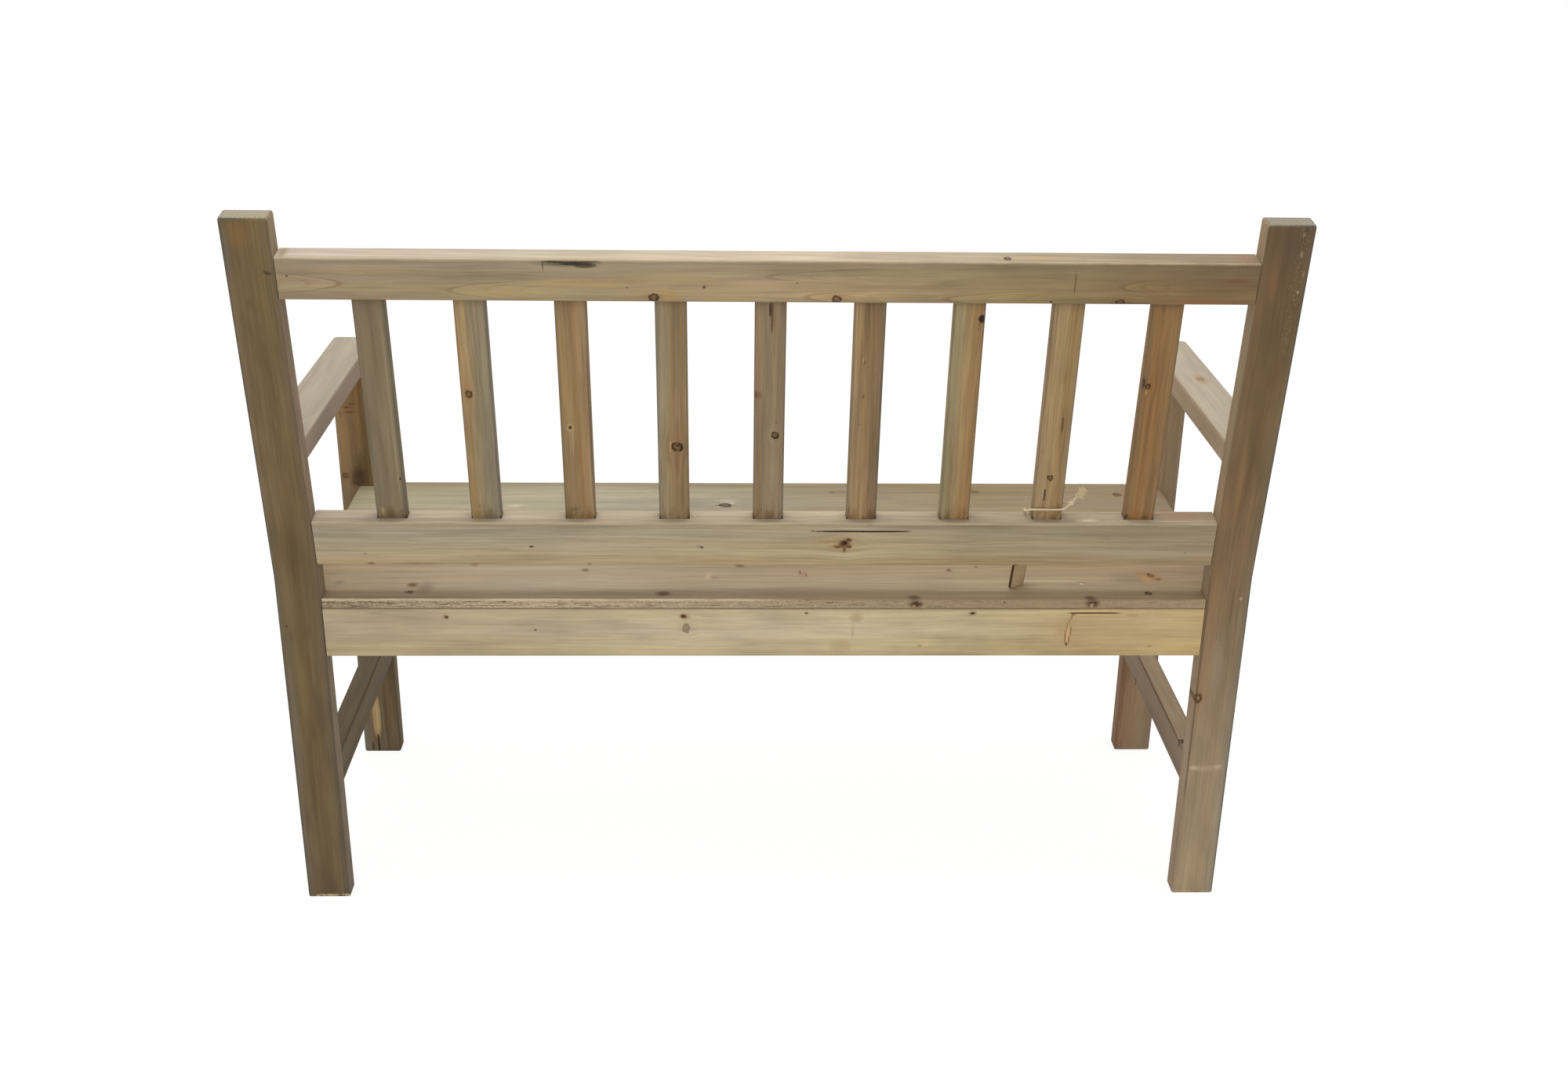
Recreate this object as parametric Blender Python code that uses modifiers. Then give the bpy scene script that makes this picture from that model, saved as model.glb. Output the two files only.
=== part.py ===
"""A two-seat garden bench in washed softwood, piece by piece, as its joiner makes it.

Metres. +Z is up, +X runs along the bench, and a sitter faces -Y. The origin is on the
floor, under the middle of the bench's overall box.
"""

import math

import bmesh
import bpy
from mathutils import Matrix, Vector

# Overall size and the two cranked rear posts
WIDTH = 1.200              # over the outer faces of the posts
HEIGHT = 0.920             # floor to the highest corner of the posts
POST_WIDTH = 0.055
POST_THICKNESS = 0.028
KNEE_RISE = 0.028          # above the seat, where the rear face of a post starts to lean
KNEE_RADIUS = 0.060
RAKE = math.radians(8.2)   # lean of the back from upright
POST_EASE = 0.003          # rounding of a post's edges

# Front legs
FRAME_DEPTH = 0.411        # rear face of the posts to front face of the legs
LEG_WIDTH = 0.054
LEG_THICKNESS = 0.028

# Arms
ARM_HEIGHT = 0.642
ARM_WIDTH = 0.054
ARM_THICKNESS = 0.030
ARM_OVERHANG = 0.012       # past the front face of the leg
ARM_FLARE = 0.006          # the nose widens inwards by this much
ARM_FLARE_LENGTH = 0.090
ARM_CORNER = 0.006
ARM_CORNER_INNER = 0.010
ARM_EASE = 0.003

# Seat
SEAT_HEIGHT = 0.433
SEAT_THICKNESS = 0.013
SEAT_BOARDS = 3
SEAT_GAP = 0.006
SEAT_FRONT_INSET = 0.010   # seat edge behind the front face of the legs
SEAT_EASE = 0.002

# Rails that carry the seat
APRON_HEIGHT = 0.065
APRON_THICKNESS = 0.018
FRONT_APRON_INSET = 0.011  # behind the front face of the legs
SIDE_INSET = 0.026         # outer face of the side rails, inside the legs' outer face
SIDE_RAIL_THICKNESS = 0.027
SIDE_RAIL_HEIGHT = 0.045
STRETCHER_HEIGHT = 0.044
STRETCHER_RISE = 0.158     # floor to the underside of a stretcher
BEARER_WIDTH = 0.030
BEARER_HEIGHT = 0.045

# Back
RAIL_THICKNESS = 0.031
TOP_RAIL_HEIGHT = 0.050
TOP_RAIL_DROP = 0.045      # post top to rail top, along the rake
LOWER_RAIL_HEIGHT = 0.060
LOWER_RAIL_RISE = 0.019    # knee to rail underside, along the rake
SLAT_COUNT = 9
SLAT_WIDTH = 0.036
SLAT_THICKNESS = 0.016
SLAT_INSET = 0.010         # behind the rear face of the rails
SLAT_HOUSING = 0.012       # how far a slat's ends go into the rails
RAIL_EASE = 0.002
SLAT_EASE = 0.002

# Joints
FIT = 0.0003               # clearance between pieces that touch
TENON_THICKNESS = 0.010
TENON_LENGTH = 0.020
APRON_TENON_LENGTH = 0.009 # short of the side rails' tenons
SIDE_TENON_LENGTH = 0.012
TENON_SHOULDER = 0.008     # stock left above and below a tenon
ARM_TENON_WIDTH = 0.036
STUB_LENGTH = 0.008        # tenons of the seat bearer

# Screws
FRAME_SCREW_LENGTH = 0.080
FRAME_SCREW_RADIUS = 0.003
FRAME_HEAD_RADIUS = 0.006
FRAME_HEAD_HEIGHT = 0.003
FRAME_HEAD_SINK = 0.002    # head below the post's outer face
APRON_SCREW_DROP = 0.020   # below an apron's middle, clear of the side rails
SEAT_SCREW_RADIUS = 0.002
SEAT_HEAD_RADIUS = 0.004
SEAT_HEAD_HEIGHT = 0.0025
SEAT_SCREW_BITE = 0.009    # how far a seat screw goes into its board
SEAT_SCREW_WOOD = 0.020    # rail left between the head and the board
SOCKET_RATIO = 0.45        # hexagon socket to head radius
SCREW_SIDES = 16

# Blank card tag, hung on a twist of twine round one slat
TAG_SLAT = 8               # counted from the sitter's left
TAG_WIDTH = 0.025
TAG_SHARE = 0.64           # its height, of the drop from the lower rail's top to the seat
TAG_THICKNESS = 0.0034
TAG_TURN = math.radians(-139)
TAG_TILT = math.radians(-6)
TAG_SIDESTEP = 0.021       # from the slat's middle towards the sitter's left
TAG_RAIL_GAP = 0.001       # tag's corner to the front of the lower rail
TAG_HOLE_RADIUS = 0.0022
TAG_HOLE_DROP = 0.007      # below the tag's top edge
TWINE_RADIUS = 0.0012
TWINE_RISE = 0.0150        # above the top of the lower rail
TWINE_SLACK = 0.0006       # between the twine and the slat
TWINE_GAP = 0.0004         # between its two ends in the knot
TWINE_STEP = 0.005         # spacing of the points along it
KNOT_RADIUS = 0.0030
KNOT_SIDESTEP = 0.0075     # from the slat's corner
KNOT_RISE = 0.0095

# Places worked out from the sizes
COS, SIN = math.cos(RAKE), math.sin(RAKE)
KNEE_HEIGHT = SEAT_HEIGHT + KNEE_RISE
UPPER_LENGTH = (HEIGHT - POST_THICKNESS * SIN - KNEE_HEIGHT) / COS
SETBACK = (UPPER_LENGTH - POST_EASE) * SIN
REAR_Y = (FRAME_DEPTH + ARM_OVERHANG - SETBACK) / 2
POST_INNER = WIDTH / 2 - POST_WIDTH
POST_FRONT_Y = REAR_Y - POST_THICKNESS
LEG_INNER = WIDTH / 2 - LEG_WIDTH
LEG_FRONT_Y = REAR_Y - FRAME_DEPTH
LEG_REAR_Y = LEG_FRONT_Y + LEG_THICKNESS
ARM_FRONT_Y = LEG_FRONT_Y - ARM_OVERHANG
ARM_UNDERSIDE = ARM_HEIGHT - ARM_THICKNESS
SEAT_UNDERSIDE = SEAT_HEIGHT - SEAT_THICKNESS
SEAT_FRONT_Y = LEG_FRONT_Y + SEAT_FRONT_INSET
SEAT_DEPTH = REAR_Y - SEAT_FRONT_Y
BOARD_WIDTH = (SEAT_DEPTH - (SEAT_BOARDS - 1) * SEAT_GAP) / SEAT_BOARDS
SIDE_OUTER = WIDTH / 2 - SIDE_INSET
SIDE_MIDDLE = SIDE_OUTER - SIDE_RAIL_THICKNESS / 2
FRONT_APRON_Y = LEG_FRONT_Y + FRONT_APRON_INSET + APRON_THICKNESS / 2
REAR_APRON_Y = REAR_Y - APRON_THICKNESS / 2
APRON_MIDDLE_Z = SEAT_UNDERSIDE - FIT - APRON_HEIGHT / 2
RAIL_LENGTH = 2 * (POST_INNER - FIT)
LOWER_RAIL_BOTTOM = LOWER_RAIL_RISE
LOWER_RAIL_TOP = LOWER_RAIL_BOTTOM + LOWER_RAIL_HEIGHT
TOP_RAIL_TOP = UPPER_LENGTH - TOP_RAIL_DROP
TOP_RAIL_BOTTOM = TOP_RAIL_TOP - TOP_RAIL_HEIGHT
TAG_HEIGHT = TAG_SHARE * (KNEE_RISE + LOWER_RAIL_TOP * COS)
SLAT_SPACE = (2 * POST_INNER - SLAT_COUNT * SLAT_WIDTH) / (SLAT_COUNT + 1)
SLAT_PITCH = SLAT_SPACE + SLAT_WIDTH

BACK = Matrix.Translation((0, REAR_Y, KNEE_HEIGHT)) @ Matrix.Rotation(-RAKE, 4, "X")


def clear_scene():
    for old in list(bpy.data.objects):
        bpy.data.objects.remove(old, do_unlink=True)


def new_collection(name):
    collection = bpy.data.collections.new(name)
    bpy.context.scene.collection.children.link(collection)
    return collection


clear_scene()
PARTS = new_collection("garden_bench")
CUTTERS = new_collection("cutters")


def material(name, colour, roughness=0.75, metallic=0.0):
    """A plain Principled material, made once for each name."""
    found = bpy.data.materials.get(name)
    if found:
        return found
    made = bpy.data.materials.new(name)
    made.use_nodes = True
    shader = made.node_tree.nodes["Principled BSDF"]
    shader.inputs["Base Color"].default_value = (*colour, 1.0)
    shader.inputs["Roughness"].default_value = roughness
    shader.inputs["Metallic"].default_value = metallic
    return made


def add_object(name, mesh, place, colour, collection):
    """Link a mesh as a new object, standing at a matrix."""
    made = bpy.data.objects.new(name, mesh)
    made.matrix_world = place
    mesh.materials.append(colour)
    collection.objects.link(made)
    if collection is CUTTERS:
        made.hide_render = True
        made.display_type = "WIRE"
    return made


def at(x, y, z):
    return Matrix.Translation((x, y, z))


def hand_name(side):
    """+1 for the left-hand side of a sitter, which is +X here, and -1 for the right."""
    return "left" if side > 0 else "right"


def box_mesh(name, size, ease=0.0, along=None):
    """A box of real size; ease rounds its edges, or only those along one axis."""
    shape = bmesh.new()
    bmesh.ops.create_cube(shape, size=1.0)
    bmesh.ops.scale(shape, vec=Vector(size), verts=shape.verts)
    if ease:
        edges = shape.edges[:]
        if along is not None:
            edges = [e for e in edges if abs((e.verts[0].co - e.verts[1].co)[along]) > ease]
        bmesh.ops.bevel(shape, geom=edges, offset=ease, segments=2, profile=0.5,
                        affect="EDGES", clamp_overlap=True)
    mesh = bpy.data.meshes.new(name)
    shape.to_mesh(mesh)
    shape.free()
    return mesh


def box(name, size, place, colour, ease=0.0, along=None, collection=PARTS):
    return add_object(name, box_mesh(name, size, ease, along), place, colour, collection)


def curve_to_mesh(name, curve):
    """A curve's evaluated form as one closed mesh, its caps welded on."""
    holder = bpy.data.objects.new(name, curve)
    CUTTERS.objects.link(holder)
    graph = bpy.context.evaluated_depsgraph_get()
    mesh = bpy.data.meshes.new_from_object(holder.evaluated_get(graph))
    bpy.data.objects.remove(holder, do_unlink=True)
    bpy.data.curves.remove(curve)
    mesh.materials.clear()
    shape = bmesh.new()
    shape.from_mesh(mesh)
    bmesh.ops.remove_doubles(shape, verts=shape.verts, dist=1e-5)
    bmesh.ops.recalc_face_normals(shape, faces=shape.faces)
    shape.to_mesh(mesh)
    shape.free()
    return mesh


def outline_mesh(name, points, thickness):
    """A flat closed outline in X and Y, thick along Z, with its caps made one face each."""
    curve = bpy.data.curves.new(name, "CURVE")
    curve.dimensions = "2D"
    curve.fill_mode = "BOTH"
    curve.extrude = thickness / 2
    spline = curve.splines.new("POLY")
    spline.points.add(len(points) - 1)
    for point, (x, y) in zip(spline.points, points):
        point.co = (x, y, 0.0, 1.0)
    spline.use_cyclic_u = True
    mesh = curve_to_mesh(name, curve)
    shape = bmesh.new()
    shape.from_mesh(mesh)
    for way in (1, -1):
        cap = [face for face in shape.faces if face.normal.z * way > 0.9]
        bmesh.ops.dissolve_faces(shape, faces=cap)
    shape.to_mesh(mesh)
    shape.free()
    return mesh


def ease(piece, width):
    """Round every hard edge of a piece."""
    bevel = piece.modifiers.new("ease", "BEVEL")
    bevel.width = width
    bevel.segments = 2
    bevel.limit_method = "ANGLE"
    bevel.angle_limit = math.radians(30)


def combine(piece, other, operation):
    boolean = piece.modifiers.new(f"{operation.lower()} {other.name}", "BOOLEAN")
    boolean.operation = operation
    boolean.solver = "EXACT"
    boolean.object = other


def tenon(piece, size, place):
    """Grow a square tenon on a piece."""
    block = box(f"{piece.name}.tenon", size, place, SPARE, collection=CUTTERS)
    combine(piece, block, "UNION")


def mortise(piece, size, place):
    """Cut the hole for a tenon of this size, with the fit all round."""
    roomy = [length + 2 * FIT for length in size]
    block = box(f"{piece.name}.mortise", roomy, place, SPARE, collection=CUTTERS)
    combine(piece, block, "DIFFERENCE")


def rod_mesh(name, radius, low, high, sides=SCREW_SIDES):
    """A cylinder along Z from low to high."""
    shape = bmesh.new()
    bmesh.ops.create_cone(shape, cap_ends=True, segments=sides, radius1=radius,
                          radius2=radius, depth=high - low)
    bmesh.ops.translate(shape, vec=(0, 0, (low + high) / 2), verts=shape.verts)
    mesh = bpy.data.meshes.new(name)
    shape.to_mesh(mesh)
    shape.free()
    return mesh


def drill(piece, radius, low, high, place):
    """Bore a round hole with the fit, along the local Z of place."""
    bit = add_object(f"{piece.name}.bit", rod_mesh("bit", radius + FIT, low, high),
                     place, SPARE, CUTTERS)
    combine(piece, bit, "DIFFERENCE")


SPARE = material("cutter", (0.5, 0.5, 0.5))
STEEL = material("zinc_steel", (0.55, 0.54, 0.52), 0.35, 1.0)

# Washed softwood, one tone for each kind of piece and for each slat
POST_TONE = (0.155, 0.118, 0.070)
LEG_TONE = (0.180, 0.130, 0.080)
RAIL_TONE = (0.330, 0.270, 0.175)
APRON_TONE = (0.400, 0.325, 0.200)
SEAT_TONE = (0.385, 0.310, 0.205)
ARM_TONE = (0.440, 0.370, 0.265)
UNDER_TONE = (0.200, 0.150, 0.100)
SLAT_TONES = ((0.190, 0.160, 0.105), (0.215, 0.175, 0.110), (0.270, 0.190, 0.105),
              (0.240, 0.170, 0.090), (0.185, 0.150, 0.090), (0.235, 0.190, 0.125),
              (0.250, 0.190, 0.110), (0.240, 0.175, 0.100), (0.270, 0.180, 0.095))


def knee_arc(centre_y, centre_z, radius, steps=3):
    """Points round the knee, from the upright face to the leaning one."""
    turns = [RAKE * step / steps for step in range(steps + 1)]
    return [(centre_y - radius * math.cos(turn), centre_z + radius * math.sin(turn))
            for turn in turns]


def post_outline():
    """Side view of a cranked post, as (y, z): up the rear face and down the front one."""
    reach = KNEE_RADIUS * math.tan(RAKE / 2)
    centre_y = REAR_Y + KNEE_RADIUS
    centre_z = KNEE_HEIGHT - reach
    rear = knee_arc(centre_y, centre_z, KNEE_RADIUS)
    front = knee_arc(centre_y, centre_z, KNEE_RADIUS + POST_THICKNESS)
    top_rear = BACK @ Vector((0, 0, UPPER_LENGTH))
    top_front = BACK @ Vector((0, -POST_THICKNESS, UPPER_LENGTH))
    return ([(REAR_Y, 0.0)] + rear + [(top_rear.y, top_rear.z), (top_front.y, top_front.z)]
            + front[::-1] + [(POST_FRONT_Y, 0.0)])


def upright(x):
    """Turns an outline drawn as (y, z) into the upright plane at x."""
    return Matrix(((0, 0, 1, x), (1, 0, 0, 0), (0, 1, 0, 0), (0, 0, 0, 1)))


def rear_post(side):
    name = f"rear_post_{hand_name(side)}"
    middle = side * (WIDTH / 2 - POST_WIDTH / 2)
    post = add_object(name, outline_mesh(name, post_outline(), POST_WIDTH), upright(middle),
                      material(name, POST_TONE), PARTS)
    ease(post, POST_EASE)
    return post


def front_leg(side):
    name = f"front_leg_{hand_name(side)}"
    length = ARM_UNDERSIDE - FIT
    place = at(side * (WIDTH / 2 - LEG_WIDTH / 2), LEG_REAR_Y - LEG_THICKNESS / 2, length / 2)
    return box(name, (LEG_WIDTH, LEG_THICKNESS, length), place, material(name, LEG_TONE),
               POST_EASE)


def leg_top_joint(leg, arm, side):
    """The leg's tenon stands in the underside of the arm."""
    size = (LEG_WIDTH - 2 * TENON_SHOULDER, TENON_THICKNESS, TENON_LENGTH)
    x, y = side * (WIDTH / 2 - LEG_WIDTH / 2), LEG_REAR_Y - LEG_THICKNESS / 2
    rise = (TENON_LENGTH - FIT) / 2
    low = ARM_UNDERSIDE - FIT
    root = POST_EASE
    tenon(leg, (size[0], size[1], TENON_LENGTH + root), at(x, y, low + (TENON_LENGTH - root) / 2))
    mortise(arm, (size[0], size[1], TENON_LENGTH), at(x, y, ARM_UNDERSIDE + rise - FIT))


def arm_outline(side):
    """Plan of an arm, as (x, y), with a rounded nose that widens a little inwards."""
    outer, inner = WIDTH / 2, WIDTH / 2 - ARM_WIDTH
    rear = POST_FRONT_Y + TENON_LENGTH + SETBACK
    nose = inner - ARM_FLARE
    flare = []
    for step in range(7):
        t = step / 6
        smooth = t * t * (3 - 2 * t)
        y = ARM_FRONT_Y + ARM_CORNER_INNER + ARM_FLARE_LENGTH * (1 - t)
        flare.append((inner - ARM_FLARE * smooth, y))
    inner_corner = arc(nose + ARM_CORNER_INNER, ARM_FRONT_Y + ARM_CORNER_INNER,
                       ARM_CORNER_INNER, 180, 270)
    outer_corner = arc(outer - ARM_CORNER, ARM_FRONT_Y + ARM_CORNER, ARM_CORNER, 270, 360)
    points = [(inner, rear)] + flare[:-1] + inner_corner + outer_corner + [(outer, rear)]
    return [(side * x, y) for x, y in points]


def arc(x, y, radius, start, end, steps=4):
    """Points on a circular arc, by angles in degrees."""
    angles = [math.radians(start + (end - start) * step / steps) for step in range(steps + 1)]
    return [(x + radius * math.cos(a), y + radius * math.sin(a)) for a in angles]


def trim(mesh, point, normal):
    """Saw off what lies beyond a plane and close the cut."""
    shape = bmesh.new()
    shape.from_mesh(mesh)
    geometry = shape.verts[:] + shape.edges[:] + shape.faces[:]
    cut = bmesh.ops.bisect_plane(shape, geom=geometry, dist=1e-6, plane_co=point,
                                 plane_no=normal, clear_outer=True)
    rim = [item for item in cut["geom_cut"] if isinstance(item, bmesh.types.BMEdge)]
    bmesh.ops.holes_fill(shape, edges=rim, sides=0)
    bmesh.ops.recalc_face_normals(shape, faces=shape.faces)
    shape.to_mesh(mesh)
    shape.free()


def arm_rest(side):
    """An arm, sawn to the lean of the post that it butts against."""
    name = f"arm_{hand_name(side)}"
    height = ARM_HEIGHT - ARM_THICKNESS / 2
    mesh = outline_mesh(name, arm_outline(side), ARM_THICKNESS)
    face = BACK @ Vector((0, -POST_THICKNESS - FIT, 0)) - Vector((0, 0, height))
    normal = BACK.to_3x3() @ Vector((0, 1, 0))
    trim(mesh, face, normal)
    arm = add_object(name, mesh, at(0, 0, height), material(name, ARM_TONE), PARTS)
    ease(arm, ARM_EASE)
    return arm


def arm_rear_joint(arm, post, side):
    """The arm's flat tenon goes into the leaning front face of the post."""
    x, z = side * (WIDTH / 2 - ARM_WIDTH / 2), ARM_HEIGHT - ARM_THICKNESS / 2
    face_y = REAR_Y + (z - KNEE_HEIGHT) * SIN / COS - POST_THICKNESS / COS
    root = TENON_LENGTH / 2
    size = (ARM_TENON_WIDTH, TENON_LENGTH, TENON_THICKNESS)
    tenon(arm, (size[0], size[1] + root, size[2]), at(x, face_y + (TENON_LENGTH - root) / 2, z))
    mortise(post, (size[0], size[1] * 2, size[2]), at(x, face_y, z))


def seat_board(index):
    """One board of the seat, counted from the back, notched where a post or leg stands."""
    name = f"seat_board_{index + 1}"
    rear = REAR_Y - index * (BOARD_WIDTH + SEAT_GAP)
    front = rear - BOARD_WIDTH
    height = SEAT_HEIGHT - SEAT_THICKNESS / 2
    board = box(name, (2 * SIDE_OUTER, BOARD_WIDTH, SEAT_THICKNESS),
                at(0, (rear + front) / 2, height), material(name, SEAT_TONE), SEAT_EASE)
    if index == 0:
        notch(board, POST_INNER, rear, POST_FRONT_Y - FIT)
    if index == SEAT_BOARDS - 1:
        notch(board, LEG_INNER, front, LEG_REAR_Y + FIT)
    return board


def notch(board, inner, edge, face):
    """Saw a corner out at both ends of a board, from its long edge in to a post's face."""
    beyond = edge + math.copysign(SEAT_THICKNESS, edge - face)
    inner, outer = inner - FIT, WIDTH / 2
    size = (outer - inner, abs(beyond - face), SEAT_THICKNESS * 2)
    for side in (1, -1):
        place = at(side * (inner + outer) / 2, (beyond + face) / 2, board.location.z)
        block = box(f"{board.name}.notch", size, place, SPARE, collection=CUTTERS)
        combine(board, block, "DIFFERENCE")


def apron(name, inner, y):
    return box(name, (2 * (inner - FIT), APRON_THICKNESS, APRON_HEIGHT),
               at(0, y, APRON_MIDDLE_Z), material(name, APRON_TONE), RAIL_EASE, along=0)


def rail_end_joint(rail, post, place, height, length):
    """A rail's end tenon in a post or leg; place is where the rail's axis meets its face."""
    size = (length * 2, TENON_THICKNESS, height - 2 * TENON_SHOULDER)
    side = math.copysign(1, place.translation.x)
    tenon(rail, size, place @ at(-side * FIT, 0, 0))
    mortise(post, size, place)


def side_member(name, bottom, height, tone, side):
    """A rail or stretcher from front leg to rear post, with a tenon at each end."""
    x = side * SIDE_MIDDLE
    rear, front = POST_FRONT_Y - FIT, LEG_REAR_Y + FIT
    place = at(x, (rear + front) / 2, bottom + height / 2)
    return box(name, (SIDE_RAIL_THICKNESS, rear - front, height), place,
               material(name, tone), RAIL_EASE, along=1)


def side_joints(member, leg, post, bottom, height, side):
    """End tenons of a side rail or stretcher, in the post behind and the leg in front."""
    x, z = side * SIDE_MIDDLE, bottom + height / 2
    size = (TENON_THICKNESS, SIDE_TENON_LENGTH * 2, height - 2 * TENON_SHOULDER)
    for holder, face_y, out in ((post, POST_FRONT_Y, 1), (leg, LEG_REAR_Y, -1)):
        tenon(member, size, at(x, face_y - out * FIT, z))
        mortise(holder, size, at(x, face_y, z))


def back_rail(name, bottom, height, slats_above):
    """A rail of the back, lying in the rake, with a row of housings for the slats."""
    place = BACK @ at(0, -RAIL_THICKNESS / 2, bottom + height / 2)
    rail = box(name, (RAIL_LENGTH, RAIL_THICKNESS, height), place,
               material(name, RAIL_TONE), RAIL_EASE, along=0)
    housing_z = bottom + height if slats_above else bottom
    row = slat_row_mesh(f"{name}.housings", 2 * (SLAT_HOUSING + FIT), FIT)
    cutter = add_object(f"{name}.housings", row, BACK @ at(0, slat_y(), housing_z), SPARE,
                        CUTTERS)
    combine(rail, cutter, "DIFFERENCE")
    return rail


def slat_x(index):
    """Middle of a slat, counted from the sitter's left, which is +X."""
    return POST_INNER - SLAT_SPACE - SLAT_WIDTH / 2 - index * SLAT_PITCH


def slat_y():
    """Middle of the slats' thickness, in the back's own frame."""
    return -SLAT_INSET - SLAT_THICKNESS / 2


def slat_row_mesh(name, height, clearance):
    """Boxes of a slat's section, one for each slat, round the row's own origin."""
    shape = bmesh.new()
    for index in range(SLAT_COUNT):
        made = bmesh.ops.create_cube(shape, size=1.0)
        size = (SLAT_WIDTH + 2 * clearance, SLAT_THICKNESS + 2 * clearance, height)
        bmesh.ops.scale(shape, vec=size, verts=made["verts"])
        bmesh.ops.translate(shape, vec=(slat_x(index), 0, 0), verts=made["verts"])
    mesh = bpy.data.meshes.new(name)
    shape.to_mesh(mesh)
    shape.free()
    return mesh


def back_slat(index):
    name = f"back_slat_{index + 1}"
    bottom = LOWER_RAIL_TOP - SLAT_HOUSING
    top = TOP_RAIL_BOTTOM + SLAT_HOUSING
    place = BACK @ at(slat_x(index), slat_y(), (bottom + top) / 2)
    tone = SLAT_TONES[index % len(SLAT_TONES)]
    return box(name, (SLAT_WIDTH, SLAT_THICKNESS, top - bottom), place,
               material(name, tone), SLAT_EASE, along=2)


def screw(name, place, radius, length, head_radius, head_height):
    """A socket-headed screw: its head starts at the origin and its shank runs down -Z."""
    body = add_object(name, rod_mesh(name, head_radius, -head_height, 0), place, STEEL, PARTS)
    shank = add_object(f"{name}.shank", rod_mesh("shank", radius, -length, -head_height / 2),
                       place, SPARE, CUTTERS)
    socket = add_object(f"{name}.socket",
                        rod_mesh("socket", head_radius * SOCKET_RATIO, -head_height * 0.6,
                                 head_height, 6), place, SPARE, CUTTERS)
    combine(body, shank, "UNION")
    combine(body, socket, "DIFFERENCE")
    body.data.shade_smooth()
    body.data.set_sharp_from_angle(angle=math.radians(40))
    return body


def pointing(side):
    """Turns a screw's +Z, its head, towards the outer face on one side."""
    return Matrix.Rotation(side * math.pi / 2, 4, "Y")


def frame_screw(name, post, rail, middle, side):
    """A long screw from a post's outer face into the end of a rail, on the tenon's line."""
    place = middle @ at(side * (WIDTH / 2 - FRAME_HEAD_SINK), 0, 0) @ pointing(side)
    screw(name, place, FRAME_SCREW_RADIUS, FRAME_SCREW_LENGTH, FRAME_HEAD_RADIUS,
          FRAME_HEAD_HEIGHT)
    drill(post, FRAME_HEAD_RADIUS, -FRAME_HEAD_HEIGHT - FIT, FRAME_HEAD_SINK * 2, place)
    drill(post, FRAME_SCREW_RADIUS, -POST_WIDTH, 0, place)
    drill(rail, FRAME_SCREW_RADIUS, -FRAME_SCREW_LENGTH - FIT, 0, place)


def seat_screw(name, carrier, board, x, y, rail_height):
    """A short screw up through a rail into a seat board, its head deep in a counterbore."""
    head_z = SEAT_UNDERSIDE - SEAT_SCREW_WOOD
    place = at(x, y, head_z) @ Matrix.Rotation(math.pi, 4, "X")
    length = SEAT_SCREW_WOOD + SEAT_SCREW_BITE
    screw(name, place, SEAT_SCREW_RADIUS, length, SEAT_HEAD_RADIUS, SEAT_HEAD_HEIGHT)
    drill(carrier, SEAT_HEAD_RADIUS, -SEAT_HEAD_HEIGHT - FIT, rail_height, place)
    drill(carrier, SEAT_SCREW_RADIUS, -SEAT_SCREW_WOOD * 2, 0, place)
    drill(board, SEAT_SCREW_RADIUS, -length - FIT, 0, place)


def bearer(front, rear):
    """The front-to-back bearer under the middle of the seat, stubbed into both aprons."""
    y0 = FRONT_APRON_Y + APRON_THICKNESS / 2 + FIT
    y1 = REAR_APRON_Y - APRON_THICKNESS / 2 - FIT
    z = SEAT_UNDERSIDE - FIT - BEARER_HEIGHT / 2
    made = box("seat_bearer", (BEARER_WIDTH, y1 - y0, BEARER_HEIGHT), at(0, (y0 + y1) / 2, z),
               material("seat_bearer", UNDER_TONE), RAIL_EASE, along=1)
    tall = BEARER_HEIGHT - 2 * TENON_SHOULDER
    for holder, end, out in ((rear, y1 + FIT, 1), (front, y0 - FIT, -1)):
        tenon(made, (TENON_THICKNESS, STUB_LENGTH * 2, tall), at(0, end - out * FIT, z))
        mortise(holder, (TENON_THICKNESS, STUB_LENGTH * 2, tall), at(0, end, z))
    return made


def tag_place():
    """The tag stands on the seat with its lowest corner, close in front of the lower rail."""
    turn = Matrix.Rotation(TAG_TILT, 4, "Y") @ Matrix.Rotation(TAG_TURN, 4, "Z")
    half = Vector((TAG_WIDTH, TAG_THICKNESS, TAG_HEIGHT)) / 2
    corners = [turn @ Vector((half.x * i, half.y * j, half.z * k))
               for i in (-1, 1) for j in (-1, 1) for k in (-1, 1)]
    rail_front = BACK @ Vector((0, -RAIL_THICKNESS, LOWER_RAIL_BOTTOM))
    x = slat_x(TAG_SLAT - 1) + TAG_SIDESTEP
    y = rail_front.y - TAG_RAIL_GAP - max(corner.y for corner in corners)
    z = SEAT_HEIGHT + FIT - min(corner.z for corner in corners)
    return at(x, y, z) @ turn


def swing_tag():
    place = tag_place()
    tag = box("swing_tag", (TAG_WIDTH, TAG_THICKNESS, TAG_HEIGHT), place,
              material("swing_tag", (0.300, 0.200, 0.120)))
    eye = place @ at(0, 0, TAG_HEIGHT / 2 - TAG_HOLE_DROP) @ Matrix.Rotation(math.pi / 2, 4, "X")
    drill(tag, TAG_HOLE_RADIUS - FIT, -TAG_THICKNESS, TAG_THICKNESS, eye)
    return tag


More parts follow.
